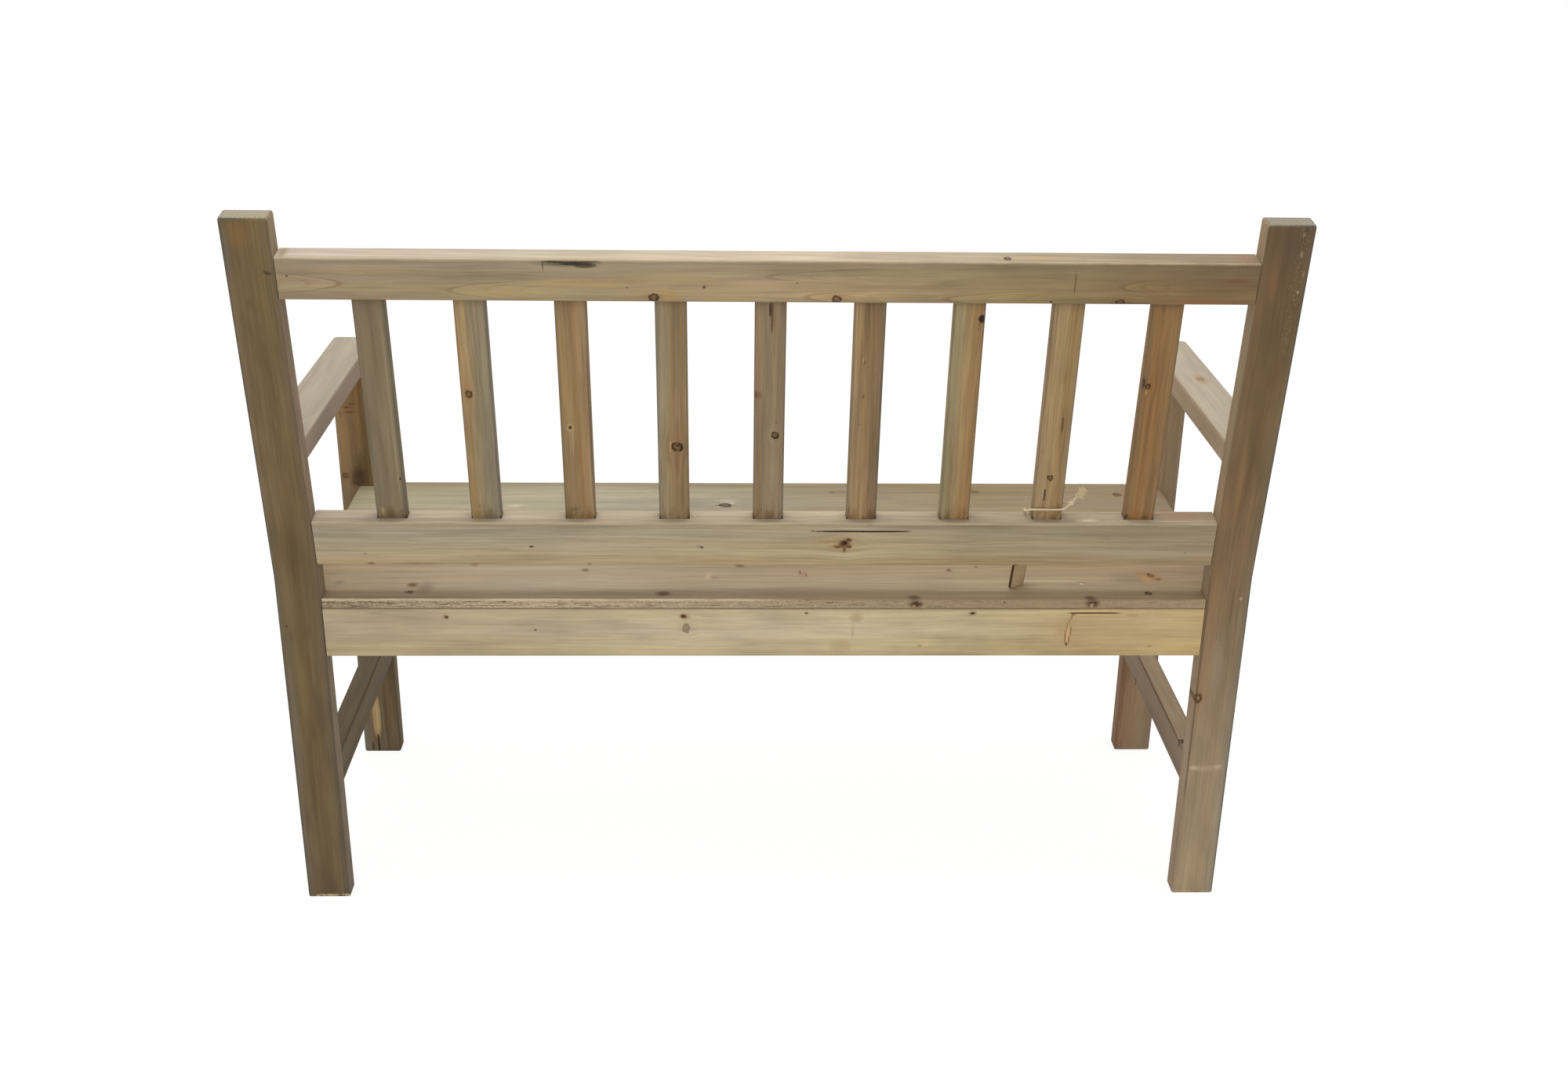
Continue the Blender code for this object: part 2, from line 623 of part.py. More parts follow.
def smooth_route(route, step):
    """Even points along a centripetal Catmull-Rom curve through the route's points."""
    dense = []
    padded = [2 * route[0] - route[1]] + route + [2 * route[-1] - route[-2]]
    for p0, p1, p2, p3 in zip(padded, padded[1:], padded[2:], padded[3:]):
        t1 = (p1 - p0).length ** 0.5
        t2 = t1 + (p2 - p1).length ** 0.5
        t3 = t2 + (p3 - p2).length ** 0.5
        for count in range(16):
            t = t1 + (t2 - t1) * count / 16
            a1 = p0.lerp(p1, t / t1)
            a2 = p1.lerp(p2, (t - t1) / (t2 - t1))
            a3 = p2.lerp(p3, (t - t2) / (t3 - t2))
            b1 = a1.lerp(a2, t / t2)
            b2 = a2.lerp(a3, (t - t1) / (t3 - t1))
            dense.append(b1.lerp(b2, (t - t1) / (t2 - t1)))
    dense.append(route[-1])
    lengths = [0.0]
    for before, after in zip(dense, dense[1:]):
        lengths.append(lengths[-1] + (after - before).length)
    count = max(2, round(lengths[-1] / step))
    even, index = [], 0
    for stop in range(count + 1):
        want = lengths[-1] * stop / count
        while index < len(dense) - 2 and lengths[index + 1] < want:
            index += 1
        span = lengths[index + 1] - lengths[index]
        even.append(dense[index].lerp(dense[index + 1], (want - lengths[index]) / span))
    return even


def knot_place():
    """Where the twine's loop closes, beside the slat's rear corner, in the back's frame."""
    off = TWINE_RADIUS + TWINE_SLACK
    corner = slat_x(TAG_SLAT - 1) - SLAT_WIDTH / 2 - off
    return Vector((corner - KNOT_SIDESTEP, -SLAT_INSET + off,
                   LOWER_RAIL_TOP + TWINE_RISE + KNOT_RISE))


def twine_route():
    """From the frayed end round the slat, down through the tag, and back to the knot."""
    off = TWINE_RADIUS + TWINE_SLACK
    middle = slat_x(TAG_SLAT - 1)
    left, right = middle + SLAT_WIDTH / 2 + off, middle - SLAT_WIDTH / 2 - off
    rear, front = -SLAT_INSET + off, -SLAT_INSET - SLAT_THICKNESS - off
    high = LOWER_RAIL_TOP + TWINE_RISE
    brink = -RAIL_THICKNESS - 2 * TWINE_RADIUS
    knot = knot_place()
    eye = tag_place() @ at(0, 0, TAG_HEIGHT / 2 - TAG_HOLE_DROP)
    loop = TAG_THICKNESS / 2 + 2 * TWINE_RADIUS
    round_the_rear = [
        knot + Vector((-0.010, 0.003, 0.019)), knot + Vector((-0.005, 0.001, 0.0080)), knot,
        (right, rear, high + 0.0015), (right + 0.005, rear, high), (middle, rear, high),
        (left - 0.003, rear, high), (left + 0.003, rear - 0.003, high - 0.001),
        (left + 0.008, rear - 0.012, high - 0.003),
        (left + 0.006, brink - 0.001, LOWER_RAIL_TOP + 0.001),
        (left + 0.002, brink - 0.001, LOWER_RAIL_TOP - 0.014)]
    through_the_tag = [(0, loop, 0.010), (0, loop, 0.001), (0, 0, -0.0002),
                       (0, -loop, 0.001), (0, -loop, 0.010)]
    round_the_front = [
        (left - 0.006, brink - 0.004, LOWER_RAIL_TOP - 0.012),
        (left - 0.004, brink - 0.002, LOWER_RAIL_TOP + 0.002),
        (left - 0.007, front, high - 0.001), (middle, front, high),
        (right + 0.004, front, high), (right - 0.001, front + 0.003, high + 0.001),
        (right - 0.003, (rear + front) / 2, high + 0.004),
        knot - Vector((-0.0005, 2 * TWINE_RADIUS + TWINE_GAP, 0.0005))]
    return ([BACK @ Vector(point) for point in round_the_rear]
            + [eye @ Vector(point) for point in through_the_tag]
            + [BACK @ Vector(point) for point in round_the_front])


def tie_twine():
    """The twine as one tube, with its knot as a ball where the loop closes."""
    curve = bpy.data.curves.new("tie_twine", "CURVE")
    curve.dimensions = "3D"
    curve.bevel_depth = TWINE_RADIUS
    curve.bevel_resolution = 2
    curve.use_fill_caps = True
    points = smooth_route(twine_route(), TWINE_STEP)
    spline = curve.splines.new("POLY")
    spline.points.add(len(points) - 1)
    for point, place in zip(spline.points, points):
        point.co = (*place, 1.0)
    tube = curve_to_mesh("tie_twine", curve)
    twine = add_object("tie_twine", tube, Matrix(), material("tie_twine", (0.55, 0.45, 0.30)),
                       PARTS)
    middle = knot_place() - Vector((0, TWINE_RADIUS + TWINE_GAP / 2, 0))
    shape = bmesh.new()
    bmesh.ops.create_icosphere(shape, subdivisions=2, radius=KNOT_RADIUS)
    mesh = bpy.data.meshes.new("knot")
    shape.to_mesh(mesh)
    shape.free()
    knot = add_object("tie_twine.knot", mesh, BACK @ at(*middle), SPARE, CUTTERS)
    combine(twine, knot, "UNION")
    return twine


def build():
    seat = [seat_board(index) for index in range(SEAT_BOARDS)]
    rear_apron = apron("rear_apron", POST_INNER, REAR_APRON_Y)
    front_apron = apron("front_apron", LEG_INNER, FRONT_APRON_Y)
    top_rail = back_rail("back_top_rail", TOP_RAIL_BOTTOM, TOP_RAIL_HEIGHT, False)
    lower_rail = back_rail("back_lower_rail", LOWER_RAIL_BOTTOM, LOWER_RAIL_HEIGHT, True)
    for index in range(SLAT_COUNT):
        back_slat(index)
    swing_tag()
    tie_twine()
    middle_bearer = bearer(front_apron, rear_apron)
    side_rails = {}
    for side in (1, -1):
        hand = hand_name(side)
        post, leg, arm = rear_post(side), front_leg(side), arm_rest(side)
        leg_top_joint(leg, arm, side)
        arm_rear_joint(arm, post, side)
        rail_z = SEAT_UNDERSIDE - FIT - SIDE_RAIL_HEIGHT
        side_rail = side_member(f"seat_side_rail_{hand}", rail_z, SIDE_RAIL_HEIGHT,
                                UNDER_TONE, side)
        stretcher = side_member(f"side_stretcher_{hand}", STRETCHER_RISE, STRETCHER_HEIGHT,
                                LEG_TONE, side)
        side_joints(side_rail, leg, post, rail_z, SIDE_RAIL_HEIGHT, side)
        side_joints(stretcher, leg, post, STRETCHER_RISE, STRETCHER_HEIGHT, side)
        side_rails[side] = side_rail
        for where, rail, bottom, height in (
                ("top", top_rail, TOP_RAIL_BOTTOM, TOP_RAIL_HEIGHT),
                ("lower", lower_rail, LOWER_RAIL_BOTTOM, LOWER_RAIL_HEIGHT)):
            middle = BACK @ at(0, -RAIL_THICKNESS / 2, bottom + height / 2)
            rail_end_joint(rail, post, middle @ at(side * POST_INNER, 0, 0), height,
                           TENON_LENGTH)
            frame_screw(f"frame_screw_{where}_{hand}", post, rail, middle, side)
        for where, rail, holder, inner, y in (
                ("rear", rear_apron, post, POST_INNER, REAR_APRON_Y),
                ("front", front_apron, leg, LEG_INNER, FRONT_APRON_Y)):
            rail_end_joint(rail, holder, at(side * inner, y, APRON_MIDDLE_Z), APRON_HEIGHT,
                           APRON_TENON_LENGTH)
            low = at(0, y, APRON_MIDDLE_Z - APRON_SCREW_DROP)
            frame_screw(f"frame_screw_{where}_{hand}", holder, rail, low, side)
    carriers = (("left", side_rails[1], SIDE_MIDDLE, SIDE_RAIL_HEIGHT),
                ("middle", middle_bearer, 0.0, BEARER_HEIGHT),
                ("right", side_rails[-1], -SIDE_MIDDLE, SIDE_RAIL_HEIGHT))
    for index, board in enumerate(seat):
        y = REAR_Y - index * (BOARD_WIDTH + SEAT_GAP) - BOARD_WIDTH / 2
        for where, carrier, x, rail_height in carriers:
            seat_screw(f"seat_screw_{index + 1}_{where}", carrier, board, x, y, rail_height)


build()
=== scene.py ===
"""Looks of the garden bench: washed softwood with its grain, knots, stains and wear, a blank tag
on a twist of twine, and the plain studio round it."""
import math

import bpy
import numpy as np
from mathutils import Matrix, Vector


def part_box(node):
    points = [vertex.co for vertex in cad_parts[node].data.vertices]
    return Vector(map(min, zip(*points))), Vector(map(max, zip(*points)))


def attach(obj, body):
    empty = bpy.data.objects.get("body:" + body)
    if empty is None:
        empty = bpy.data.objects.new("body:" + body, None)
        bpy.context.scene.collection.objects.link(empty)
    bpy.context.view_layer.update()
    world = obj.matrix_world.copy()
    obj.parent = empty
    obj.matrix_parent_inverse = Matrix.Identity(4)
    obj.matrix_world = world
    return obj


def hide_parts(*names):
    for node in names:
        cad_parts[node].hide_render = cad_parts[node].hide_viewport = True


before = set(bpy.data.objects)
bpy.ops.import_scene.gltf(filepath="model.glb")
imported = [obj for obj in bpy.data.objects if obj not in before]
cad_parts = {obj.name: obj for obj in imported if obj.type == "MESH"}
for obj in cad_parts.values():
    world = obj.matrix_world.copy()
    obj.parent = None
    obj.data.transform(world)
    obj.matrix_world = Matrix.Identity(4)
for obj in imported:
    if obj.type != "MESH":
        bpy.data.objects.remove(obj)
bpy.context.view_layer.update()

RAKE = math.radians(8.2)                  # lean of the back
KNEE = 0.461                              # height where the back starts to lean
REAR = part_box("rear_apron")[1].y          # rear face of the posts and the apron
POST_HALF_DEPTH = 0.014
POST_LENGTH = 0.4597                      # above the knee, along the lean
RAIL_TOP = 0.079                          # top of the lower rail, from the knee along the lean
SEAT_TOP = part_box("seat_board_1")[1].z
BACK = Matrix.Translation((0, REAR, KNEE)) @ Matrix.Rotation(-RAKE, 4, "X")
MM = 0.001


# Camera and light

CAMERA_YAW = 0.03284                      # radians, towards the sitter's right
CAMERA_PITCH = 0.39978                    # radians, looking down
CAMERA_ROLL = 0.01435
CAMERA_SIDE = 0.0439                      # from the bench's middle to the sitter's left
CAMERA_BEHIND = 1.94167                   # from the rear face of the posts
CAMERA_HEIGHT = 1.33266
PHOTO_WIDTH = 2000                        # pixels
FOCAL_LENGTH = 2215.33                    # in pixels of the photograph
SENSOR_WIDTH = 36


def make_camera():
    """Camera where the photographer stood: behind the bench, looking a little down."""
    ahead = Vector((-math.sin(CAMERA_YAW) * math.cos(CAMERA_PITCH),
                    -math.cos(CAMERA_YAW) * math.cos(CAMERA_PITCH), -math.sin(CAMERA_PITCH)))
    level = Vector((-math.cos(CAMERA_YAW), math.sin(CAMERA_YAW), 0))
    upward = level.cross(ahead)
    right = math.cos(CAMERA_ROLL) * level + math.sin(CAMERA_ROLL) * upward
    up = -math.sin(CAMERA_ROLL) * level + math.cos(CAMERA_ROLL) * upward
    data = bpy.data.cameras.new("camera")
    data.sensor_width = SENSOR_WIDTH
    data.lens = FOCAL_LENGTH * SENSOR_WIDTH / PHOTO_WIDTH
    camera = bpy.data.objects.new("camera", data)
    place = Matrix((right, up, -ahead)).transposed().to_4x4()
    place.translation = (CAMERA_SIDE, REAR + CAMERA_BEHIND, CAMERA_HEIGHT)
    camera.matrix_world = place
    bpy.context.scene.collection.objects.link(camera)
    bpy.context.scene.camera = camera


def soft_light(name, place, target, width, height, power):
    """A rectangular lamp at a place, turned to face its target."""
    data = bpy.data.lights.new(name, "AREA")
    data.shape = "RECTANGLE"
    data.size = width
    data.size_y = height
    data.energy = power
    light = bpy.data.objects.new(name, data)
    light.location = place
    light.rotation_euler = (Vector(place) - Vector(target)).to_track_quat("Z", "Y").to_euler()
    bpy.context.scene.collection.objects.link(light)


# Finishes: one small class carries the shader sums

class Wire:
    """A socket of a finish's nodes. Sums on it add Math nodes, and node() adds any other node."""

    def __init__(self, tree, socket=None):
        self.tree = tree
        self.socket = socket

    def node(self, kind, values=(), out=0, stops=(), **settings):
        """Adds a node: settings and ramp stops first, then its sockets' numbers or wires."""
        made = self.tree.nodes.new(kind)
        for name, setting in settings.items():
            setattr(made, name, setting)
        if stops:
            ramp = made.color_ramp.elements
            while len(ramp) < len(stops):
                ramp.new(0.5)
            for element, (position, colour) in zip(ramp, stops):
                element.position = position
                element.color = colour
        for key, value in dict(values).items():
            if isinstance(value, Wire):
                self.tree.links.new(value.socket, made.inputs[key])
            else:
                made.inputs[key].default_value = value
        return Wire(self.tree, made.outputs[out])

    def math(self, operation, first, *others):
        """One Math node on wires and numbers."""
        values = dict(enumerate((first, *others)))
        return self.node("ShaderNodeMath", values, operation=operation)

    def __add__(self, other):
        return self.math("ADD", self, other)

    def __sub__(self, other):
        return self.math("SUBTRACT", self, other)

    def __rsub__(self, other):
        return self.math("SUBTRACT", other, self)

    def __mul__(self, other):
        return self.math("MULTIPLY", self, other)

    def __truediv__(self, other):
        return self.math("DIVIDE", self, other)

    def __pow__(self, other):
        return self.math("POWER", self, other)

    def __neg__(self):
        return self.math("MULTIPLY", self, -1.0)

    def __abs__(self):
        return self.math("ABSOLUTE", self)

    __radd__ = __add__

    def least(self, other):
        return self.math("MINIMUM", self, other)

    def most(self, other):
        return self.math("MAXIMUM", self, other)

    def part(self):
        """What is left of this wire after its whole number is taken off."""
        return self.math("FRACT", self)

    def bell(self):
        """exp(-x) of this wire, for soft round spots from a squared distance."""
        return self.math("EXPONENT", -self)

    def ease(self, low, high):
        """0 at low and 1 at high, with a smooth run between them; low may be the greater."""
        return self.node("ShaderNodeMapRange", {0: self, 1: low, 2: high},
                         interpolation_type="SMOOTHSTEP")

    def paint_over(self, under, over):
        """A colour that turns from under to over as this wire goes from 0 to 1."""
        return self.node("ShaderNodeMix", {0: self, 6: under, 7: over}, out=2,
                         data_type="RGBA")

    def noise(self, stretch, seed, detail=2.0, roughness=0.5):
        """Noise on this place, finer along each axis by its stretch per metre, about 0 to 1."""
        shift = (seed * 3.17 % 50, seed * 7.31 % 50, seed * 1.93 % 50)
        where = self.node("ShaderNodeVectorMath", {0: self, 1: stretch, 2: shift},
                          operation="MULTIPLY_ADD")
        return self.node("ShaderNodeTexNoise", {"Vector": where, "Scale": 1.0,
                                                "Detail": detail, "Roughness": roughness})


def card(red, green, blue):
    """A tone read in 0 to 255, as a linear colour."""
    shares = np.array((red, green, blue)) / 255
    linear = np.where(shares <= 0.04045, shares / 12.92, ((shares + 0.055) / 1.055) ** 2.4)
    return (*linear.tolist(), 1.0)


def new_finish(name):
    """A fresh material with only a Principled shader and its output."""
    finish = bpy.data.materials.new(name)
    finish.use_nodes = True
    finish.node_tree.nodes.clear()
    tree = finish.node_tree
    shader = tree.nodes.new("ShaderNodeBsdfPrincipled")
    output = tree.nodes.new("ShaderNodeOutputMaterial")
    tree.links.new(shader.outputs[0], output.inputs[0])
    return finish, Wire(tree), shader


def connect(shader, **sockets):
    """Links wires to the shader's sockets, whose names have _ for a space."""
    for name, wire in sockets.items():
        wire.tree.links.new(wire.socket, shader.inputs[name.replace("_", " ")])


# Washed softwood

AXES = {"x": 0, "y": 1, "z": 2}
KNEE_BLEND = 0.006                        # half the height over which a post turns to its lean
HOUSING = 0.012                           # depth to which a slat stands in a rail

# How fine each noise is per metre, along the grain, across it and through the piece
RAGGED = (260, 330, 330)
DRIFT = (3.2, 14, 14)
WAVER = (9, 40, 40)
FIBRES = (9, 420, 420)
THREADS = (24, 1150, 1150)
STRIPES = (5, 190, 190)
BANDS = (2.2, 60, 60)
CLOUDS = (8, 24, 24)
PORES = (110, 900, 900)
AMBER = (3, 58, 58)
OLIVE = (2.4, 42, 42)
SAWN_FUR = (260, 1300, 900)
SAWN_CUTS = (36, 420, 900)
DIRT = (45, 120, 120)
CHALK = (420, 1150, 700)
LIT_EDGE = (26, 160, 160)
CHIPS = (200, 90, 200)
RAYS = (60, 500, 900)


def piece_box(node, leaned):
    """Lowest and highest corner of a node, in the lean of the back if it leans with it."""
    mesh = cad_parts[node].data
    corners = np.empty(len(mesh.vertices) * 3)
    mesh.vertices.foreach_get("co", corners)
    corners = corners.reshape(-1, 3)
    if leaned:
        turn = np.array(BACK.inverted())
        corners = corners @ turn[:3, :3].T + turn[:3, 3]
    return corners.min(0), corners.max(0)


def piece_axes(base, node, order, leaned):
    """Wires along, across and through a piece, its ends and its half sizes. Along is measured
    from the bench's own zero, or from the knee where the piece leans."""
    coordinate = base.node("ShaderNodeTexCoord", out="Object")
    low, high = piece_box(node, leaned)
    places = [AXES[letter] for letter in order]
    middle = Vector((low + high) / 2)
    middle[places[0]] = 0
    local = base.node("ShaderNodeMapping", {
        "Vector": coordinate, "Location": BACK @ middle if leaned else middle,
        "Rotation": (-RAKE if leaned else 0.0, 0, 0)}, vector_type="TEXTURE")
    parts = [local.node("ShaderNodeSeparateXYZ", {0: local}, out=index) for index in places]
    half = [float(value) for value in (high - low)[places] / 2]
    return (*parts, (float(low[places[0]]), float(high[places[0]])), half[1], half[2])


def post_axes(base, node):
    """The same for a cranked post, which stands upright below the knee and leans above it."""
    coordinate = base.node("ShaderNodeTexCoord", out="Object")
    low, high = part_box(node)
    middle = (low.x + high.x) / 2
    pairs = []
    for place, turn in ((Matrix.Translation((0, REAR, KNEE)), 0.0), (BACK, -RAKE)):
        spot = place @ Vector((middle, -POST_HALF_DEPTH, 0))
        local = base.node("ShaderNodeMapping", {"Vector": coordinate, "Location": spot,
                                                "Rotation": (turn, 0, 0)},
                          vector_type="TEXTURE")
        pairs.append([local.node("ShaderNodeSeparateXYZ", {0: local}, out=index)
                      for index in range(3)])
    upper = pairs[0][2].ease(-KNEE_BLEND, KNEE_BLEND)
    along = pairs[0][2] + (pairs[1][2] - pairs[0][2]) * upper
    through = pairs[0][1] + (pairs[1][1] - pairs[0][1]) * upper
    half = (high.x - low.x) / 2
    return along, pairs[0][0], through, (-KNEE, POST_LENGTH), half, POST_HALF_DEPTH


def even_stops(colours):
    """Ramp stops at even steps."""
    return [(index / (len(colours) - 1), colour) for index, colour in enumerate(colours)]


def largest(wires):
    """The greatest of several wires."""
    total = wires[0]
    for wire in wires[1:]:
        total = total.most(wire)
    return total


def tinted(colour, shares):
    """A colour with its red, green and blue each scaled."""
    return colour.node("ShaderNodeVectorMath", {0: colour, 1: shares}, operation="MULTIPLY")


class Softwood:
    """The finish of one wooden piece, painted in layers: each method adds one kind of detail to
    the colour, and what can be felt changes the height too."""

    def __init__(self, name, axes, seed):
        self.finish, self.base, self.shader = new_finish(name)
        self.seed = seed
        self.along, self.across, self.through, self.ends, self.width, self.depth = \
            axes(self.base)
        self.place = self.base.node("ShaderNodeCombineXYZ", {
            0: self.along, 1: self.across, 2: self.through})
        self.onward = (self.along - self.ends[0]) / (self.ends[1] - self.ends[0])
        self.ragged = self.place.noise(RAGGED, seed + 11, 2.0) - 0.5
        self.drift = self.place.noise(DRIFT, seed, 1.0) - 0.5
        self.waver = self.place.noise(WAVER, seed + 5, 1.0) - 0.5
        self.to_side = self.width - abs(self.across)
        self.to_face = self.depth - abs(self.through)
        self.to_end = (self.ends[1] - self.along).least(self.along - self.ends[0])

    def paint(self, mask, tone):
        """Covers the colour with a tone read in 0 to 255."""
        self.colour = mask.paint_over(self.colour, card(*tone))

    def tint(self, mask, shares):
        """Scales the colour's red, green and blue."""
        self.colour = mask.paint_over(self.colour, tinted(self.colour, shares))

    def bend_round(self, knots):
        """The grain bends sideways round each knot, by a bell of the distance, and its rings
        swell there. A knot is along, across, half length and half width in mm, then darkness,
        redness and the strength of its halo."""
        self.bent = self.across
        self.swell = None
        self.halos, self.cores, self.reds, self.rims = [], [], [], []
        for where, beside, length, breadth, dark, redness, glow in knots:
            sideways = self.across - beside * MM
            du = (self.along - where * MM) / (length * MM)
            dv = sideways / (breadth * MM)
            bulge = (du * du * 0.10 + dv * dv * 0.16).bell()
            self.bent = self.bent - sideways * bulge * 0.62
            thick = bulge * (breadth * MM)
            self.swell = thick if self.swell is None else self.swell + thick
            reach = (du * du + dv * dv) ** 0.5 + self.ragged * 1.1
            swirl = (reach * 2.3 + 0.35).part().ease(0.55, 0.95)
            self.cores.append(reach.ease(1.05, 0.80) * min(1.0, 0.35 + 0.55 * dark)
                              + swirl * reach.ease(0.95, 0.70) * (0.25 * dark))
            self.rims.append(abs(reach - 0.90).ease(0.34, 0.05) * dark)
            self.halos.append((abs(du) * 0.36 + dv * dv * 0.42).bell() * glow)
            self.reds.append(reach.ease(1.6, 0.6) * redness)
        self.bent = self.bent + self.drift * 0.009 + self.waver * 0.0016

    def grow(self, heart, ring, taper):
        """Growth rings are cones about the heart, which lies off the piece: their number is the
        distance from it, plus a share of the way along, over the width of one. Fibres, threads,
        stripes and bands are noise drawn out along the bent grain. Sizes are in mm."""
        self.body = self.base.node("ShaderNodeCombineXYZ", {
            0: self.along, 1: self.bent, 2: self.through + self.waver * 0.0016})
        beside, behind = heart[0] * MM, heart[1] * MM
        radius = ((self.bent - beside) ** 2.0 + (self.through - behind) ** 2.0) ** 0.5
        radius = radius + self.along * taper
        if self.swell is not None:
            radius = radius + self.swell * 0.9
        turn = ((radius + self.waver * 0.0035 + self.drift * 0.006) / (ring * MM)).part()
        self.late = turn ** 2.2 * turn.ease(1.0, 0.86)
        self.fibre = self.body.noise(FIBRES, self.seed + 1, 3.0, 0.62) - 0.5
        self.thread = self.body.noise(THREADS, self.seed + 2, 2.0, 0.6) - 0.5
        self.stripe = self.body.noise(STRIPES, self.seed + 9, 2.0, 0.5) - 0.5
        self.band = self.body.noise(BANDS, self.seed + 3, 2.0, 0.55) - 0.5
        self.cloud = self.place.noise(CLOUDS, self.seed + 4, 3.0, 0.6) - 0.5

    def colour_in(self, tones, run, gain, streak, blotch, rings):
        """Tones are read across the piece, drawn a little along the grain, and run scales their
        red, green and blue from end to end. The shares of run are halved on their ramp, which
        keeps them under 1, and the gain is doubled for that."""
        sideways = (self.bent / (2 * self.width) + 0.5) + self.band * 0.22 + self.waver * 0.12
        self.colour = self.base.node("ShaderNodeValToRGB", {0: sideways},
                                     stops=even_stops([card(*tone) for tone in tones]))
        if run:
            halves = [(*(share / 2 for share in shares), 1.0) for shares in run]
            share = self.base.node("ShaderNodeValToRGB", {0: self.onward + self.cloud * 0.14},
                                   stops=even_stops(halves))
            self.colour = self.base.node("ShaderNodeVectorMath", {0: self.colour, 1: share},
                                         operation="MULTIPLY")
            gain = gain * 2.0
        value = (1.0 + self.fibre * (0.60 * streak) + self.stripe * (0.46 * streak)
                 + self.band * (0.50 * streak) + self.cloud * (0.36 * blotch)
                 + self.thread * (0.42 * streak) - self.late * (0.15 * rings)) * gain
        self.colour = self.base.node("ShaderNodeVectorMath", {0: self.colour, "Scale": value},
                                     operation="SCALE")

    def weather(self, warm, cool):
        """Amber and olive drifts along the grain, then dark pores, and the height of it all."""
        amber = (self.body.noise(AMBER, self.seed + 7, 2.0) - 0.47).ease(0.0, 0.22)
        olive = (self.body.noise(OLIVE, self.seed + 8, 2.0) - 0.50).ease(0.0, 0.20)
        self.tint(amber * (0.42 * warm), (1.09, 0.95, 0.68))
        self.tint(olive * (0.42 * cool), (0.84, 0.95, 0.98))
        pores = self.body.noise(PORES, self.seed + 6, 2.0, 0.7).ease(0.66, 0.80) * 0.24
        self.tint(pores, (0.62, 0.56, 0.48))
        self.height = (self.fibre * 0.55 + self.thread * 0.5 + self.stripe * 0.3
                       + self.late * 0.35 - pores * 1.2)

    def draw_tongues(self, tongues):
        """Tongues of flat-sawn rings: parabolas one inside the other. Each is its tip along and
        across, its length, whose sign is the way that it runs, and its half width in mm, then
        its strength."""
        for tip, beside, length, breadth, strength in tongues:
            inward = (self.along - tip * MM) / (length * MM)
            sideways = (self.across - beside * MM) / (breadth * MM)
            level = inward - sideways * sideways + self.drift * 0.25 + self.waver * 0.10
            fade = inward.ease(1.0, 0.35) * strength
            inside = level.ease(0.0, 0.03) * fade
            self.tint(inside * 0.8, (1.13, 1.13, 1.12))
            self.tint(inside * (level * 4.0).part() ** 3.0 * 0.55, (0.80, 0.74, 0.66))
            self.tint(level.ease(-0.06, -0.01) * level.ease(0.03, 0.0) * fade,
                      (0.80, 0.75, 0.68))

    def paint_knots(self):
        """Each knot's halo, core with a swirl, red stain and dark sunken rim."""
        rim = largest(self.rims)
        self.tint(largest(self.halos).least(0.9), (0.90, 0.64, 0.40))
        self.paint(largest(self.cores) * 0.85, (94, 70, 46))
        self.paint(largest(self.reds) * 0.40, (106, 66, 38))
        self.paint(rim * 0.94, (40, 26, 16))
        self.height = self.height - rim * 1.6

    def leave_sawn(self, tones):
        """The edge towards +across as the saw left it: tones run along it, under pale fur, dark
        hollows and deep cuts that grow rougher along the piece."""
        face = (self.width - self.across).ease(0.0011, 0.0005)
        fur = self.place.noise(SAWN_FUR, self.seed + 21, 3.0, 0.85)
        cuts = self.place.noise(SAWN_CUTS, self.seed + 22, 3.0, 0.8)
        rough = self.along.ease(-0.35, 0.25) * 0.7 + 0.15
        bare = self.base.node("ShaderNodeValToRGB", {0: self.onward},
                              stops=even_stops([card(*tone) for tone in tones]))
        self.colour = (face * 0.92).paint_over(self.colour, bare)
        self.paint(face * fur.ease(0.50, 0.62) * rough * 0.85, (214, 197, 168))
        self.paint(face * fur.ease(0.44, 0.32) * rough * 0.8, (92, 72, 50))
        self.paint(face * cuts.ease(0.55, 0.61) * (rough * 0.7 + 0.30), (66, 48, 34))
        self.height = self.height + face * (fur - 0.5) * 3.0

    def shade_sides(self, top, flank):
        """Painted light and shade: scales the colour of the side towards +across, the top of a
        rail, lighter by the top scale, as the light from above falls on it, and of both sides by
        the side scale, lighter or darker as the light falls on them, or by a pair of side scales
        that run from the foot to the head."""
        if top:
            self.tint((self.width - self.across).ease(0.0016, 0.0004), top)
        if flank:
            if isinstance(flank[0], tuple):
                foot, head = flank
                flank = self.onward.paint_over((*foot, 1.0), (*head, 1.0))
            self.tint(self.to_face.ease(0.0004, 0.0020), flank)

    def soil(self, grime):
        """Dirt and painted shade where a slat stands in its rails, most of it at the foot: patchy
        dirt, partly painted shade, at the foot, and painted shade at the head, under the top rail.
        """
        dirt = self.place.noise(DIRT, self.seed + 14, 2.0, 0.6).ease(0.40, 0.62)
        foot = (self.along - self.ends[0] - HOUSING).ease(0.022, 0.002) * dirt * grime
        self.tint(foot, (0.62, 0.55, 0.42))
        # painted shade at the slat's head, under the top rail
        head = (self.ends[1] - HOUSING - self.along).ease(0.016, 0.002) * (0.6 * grime)
        self.tint(head, (0.70, 0.68, 0.66))

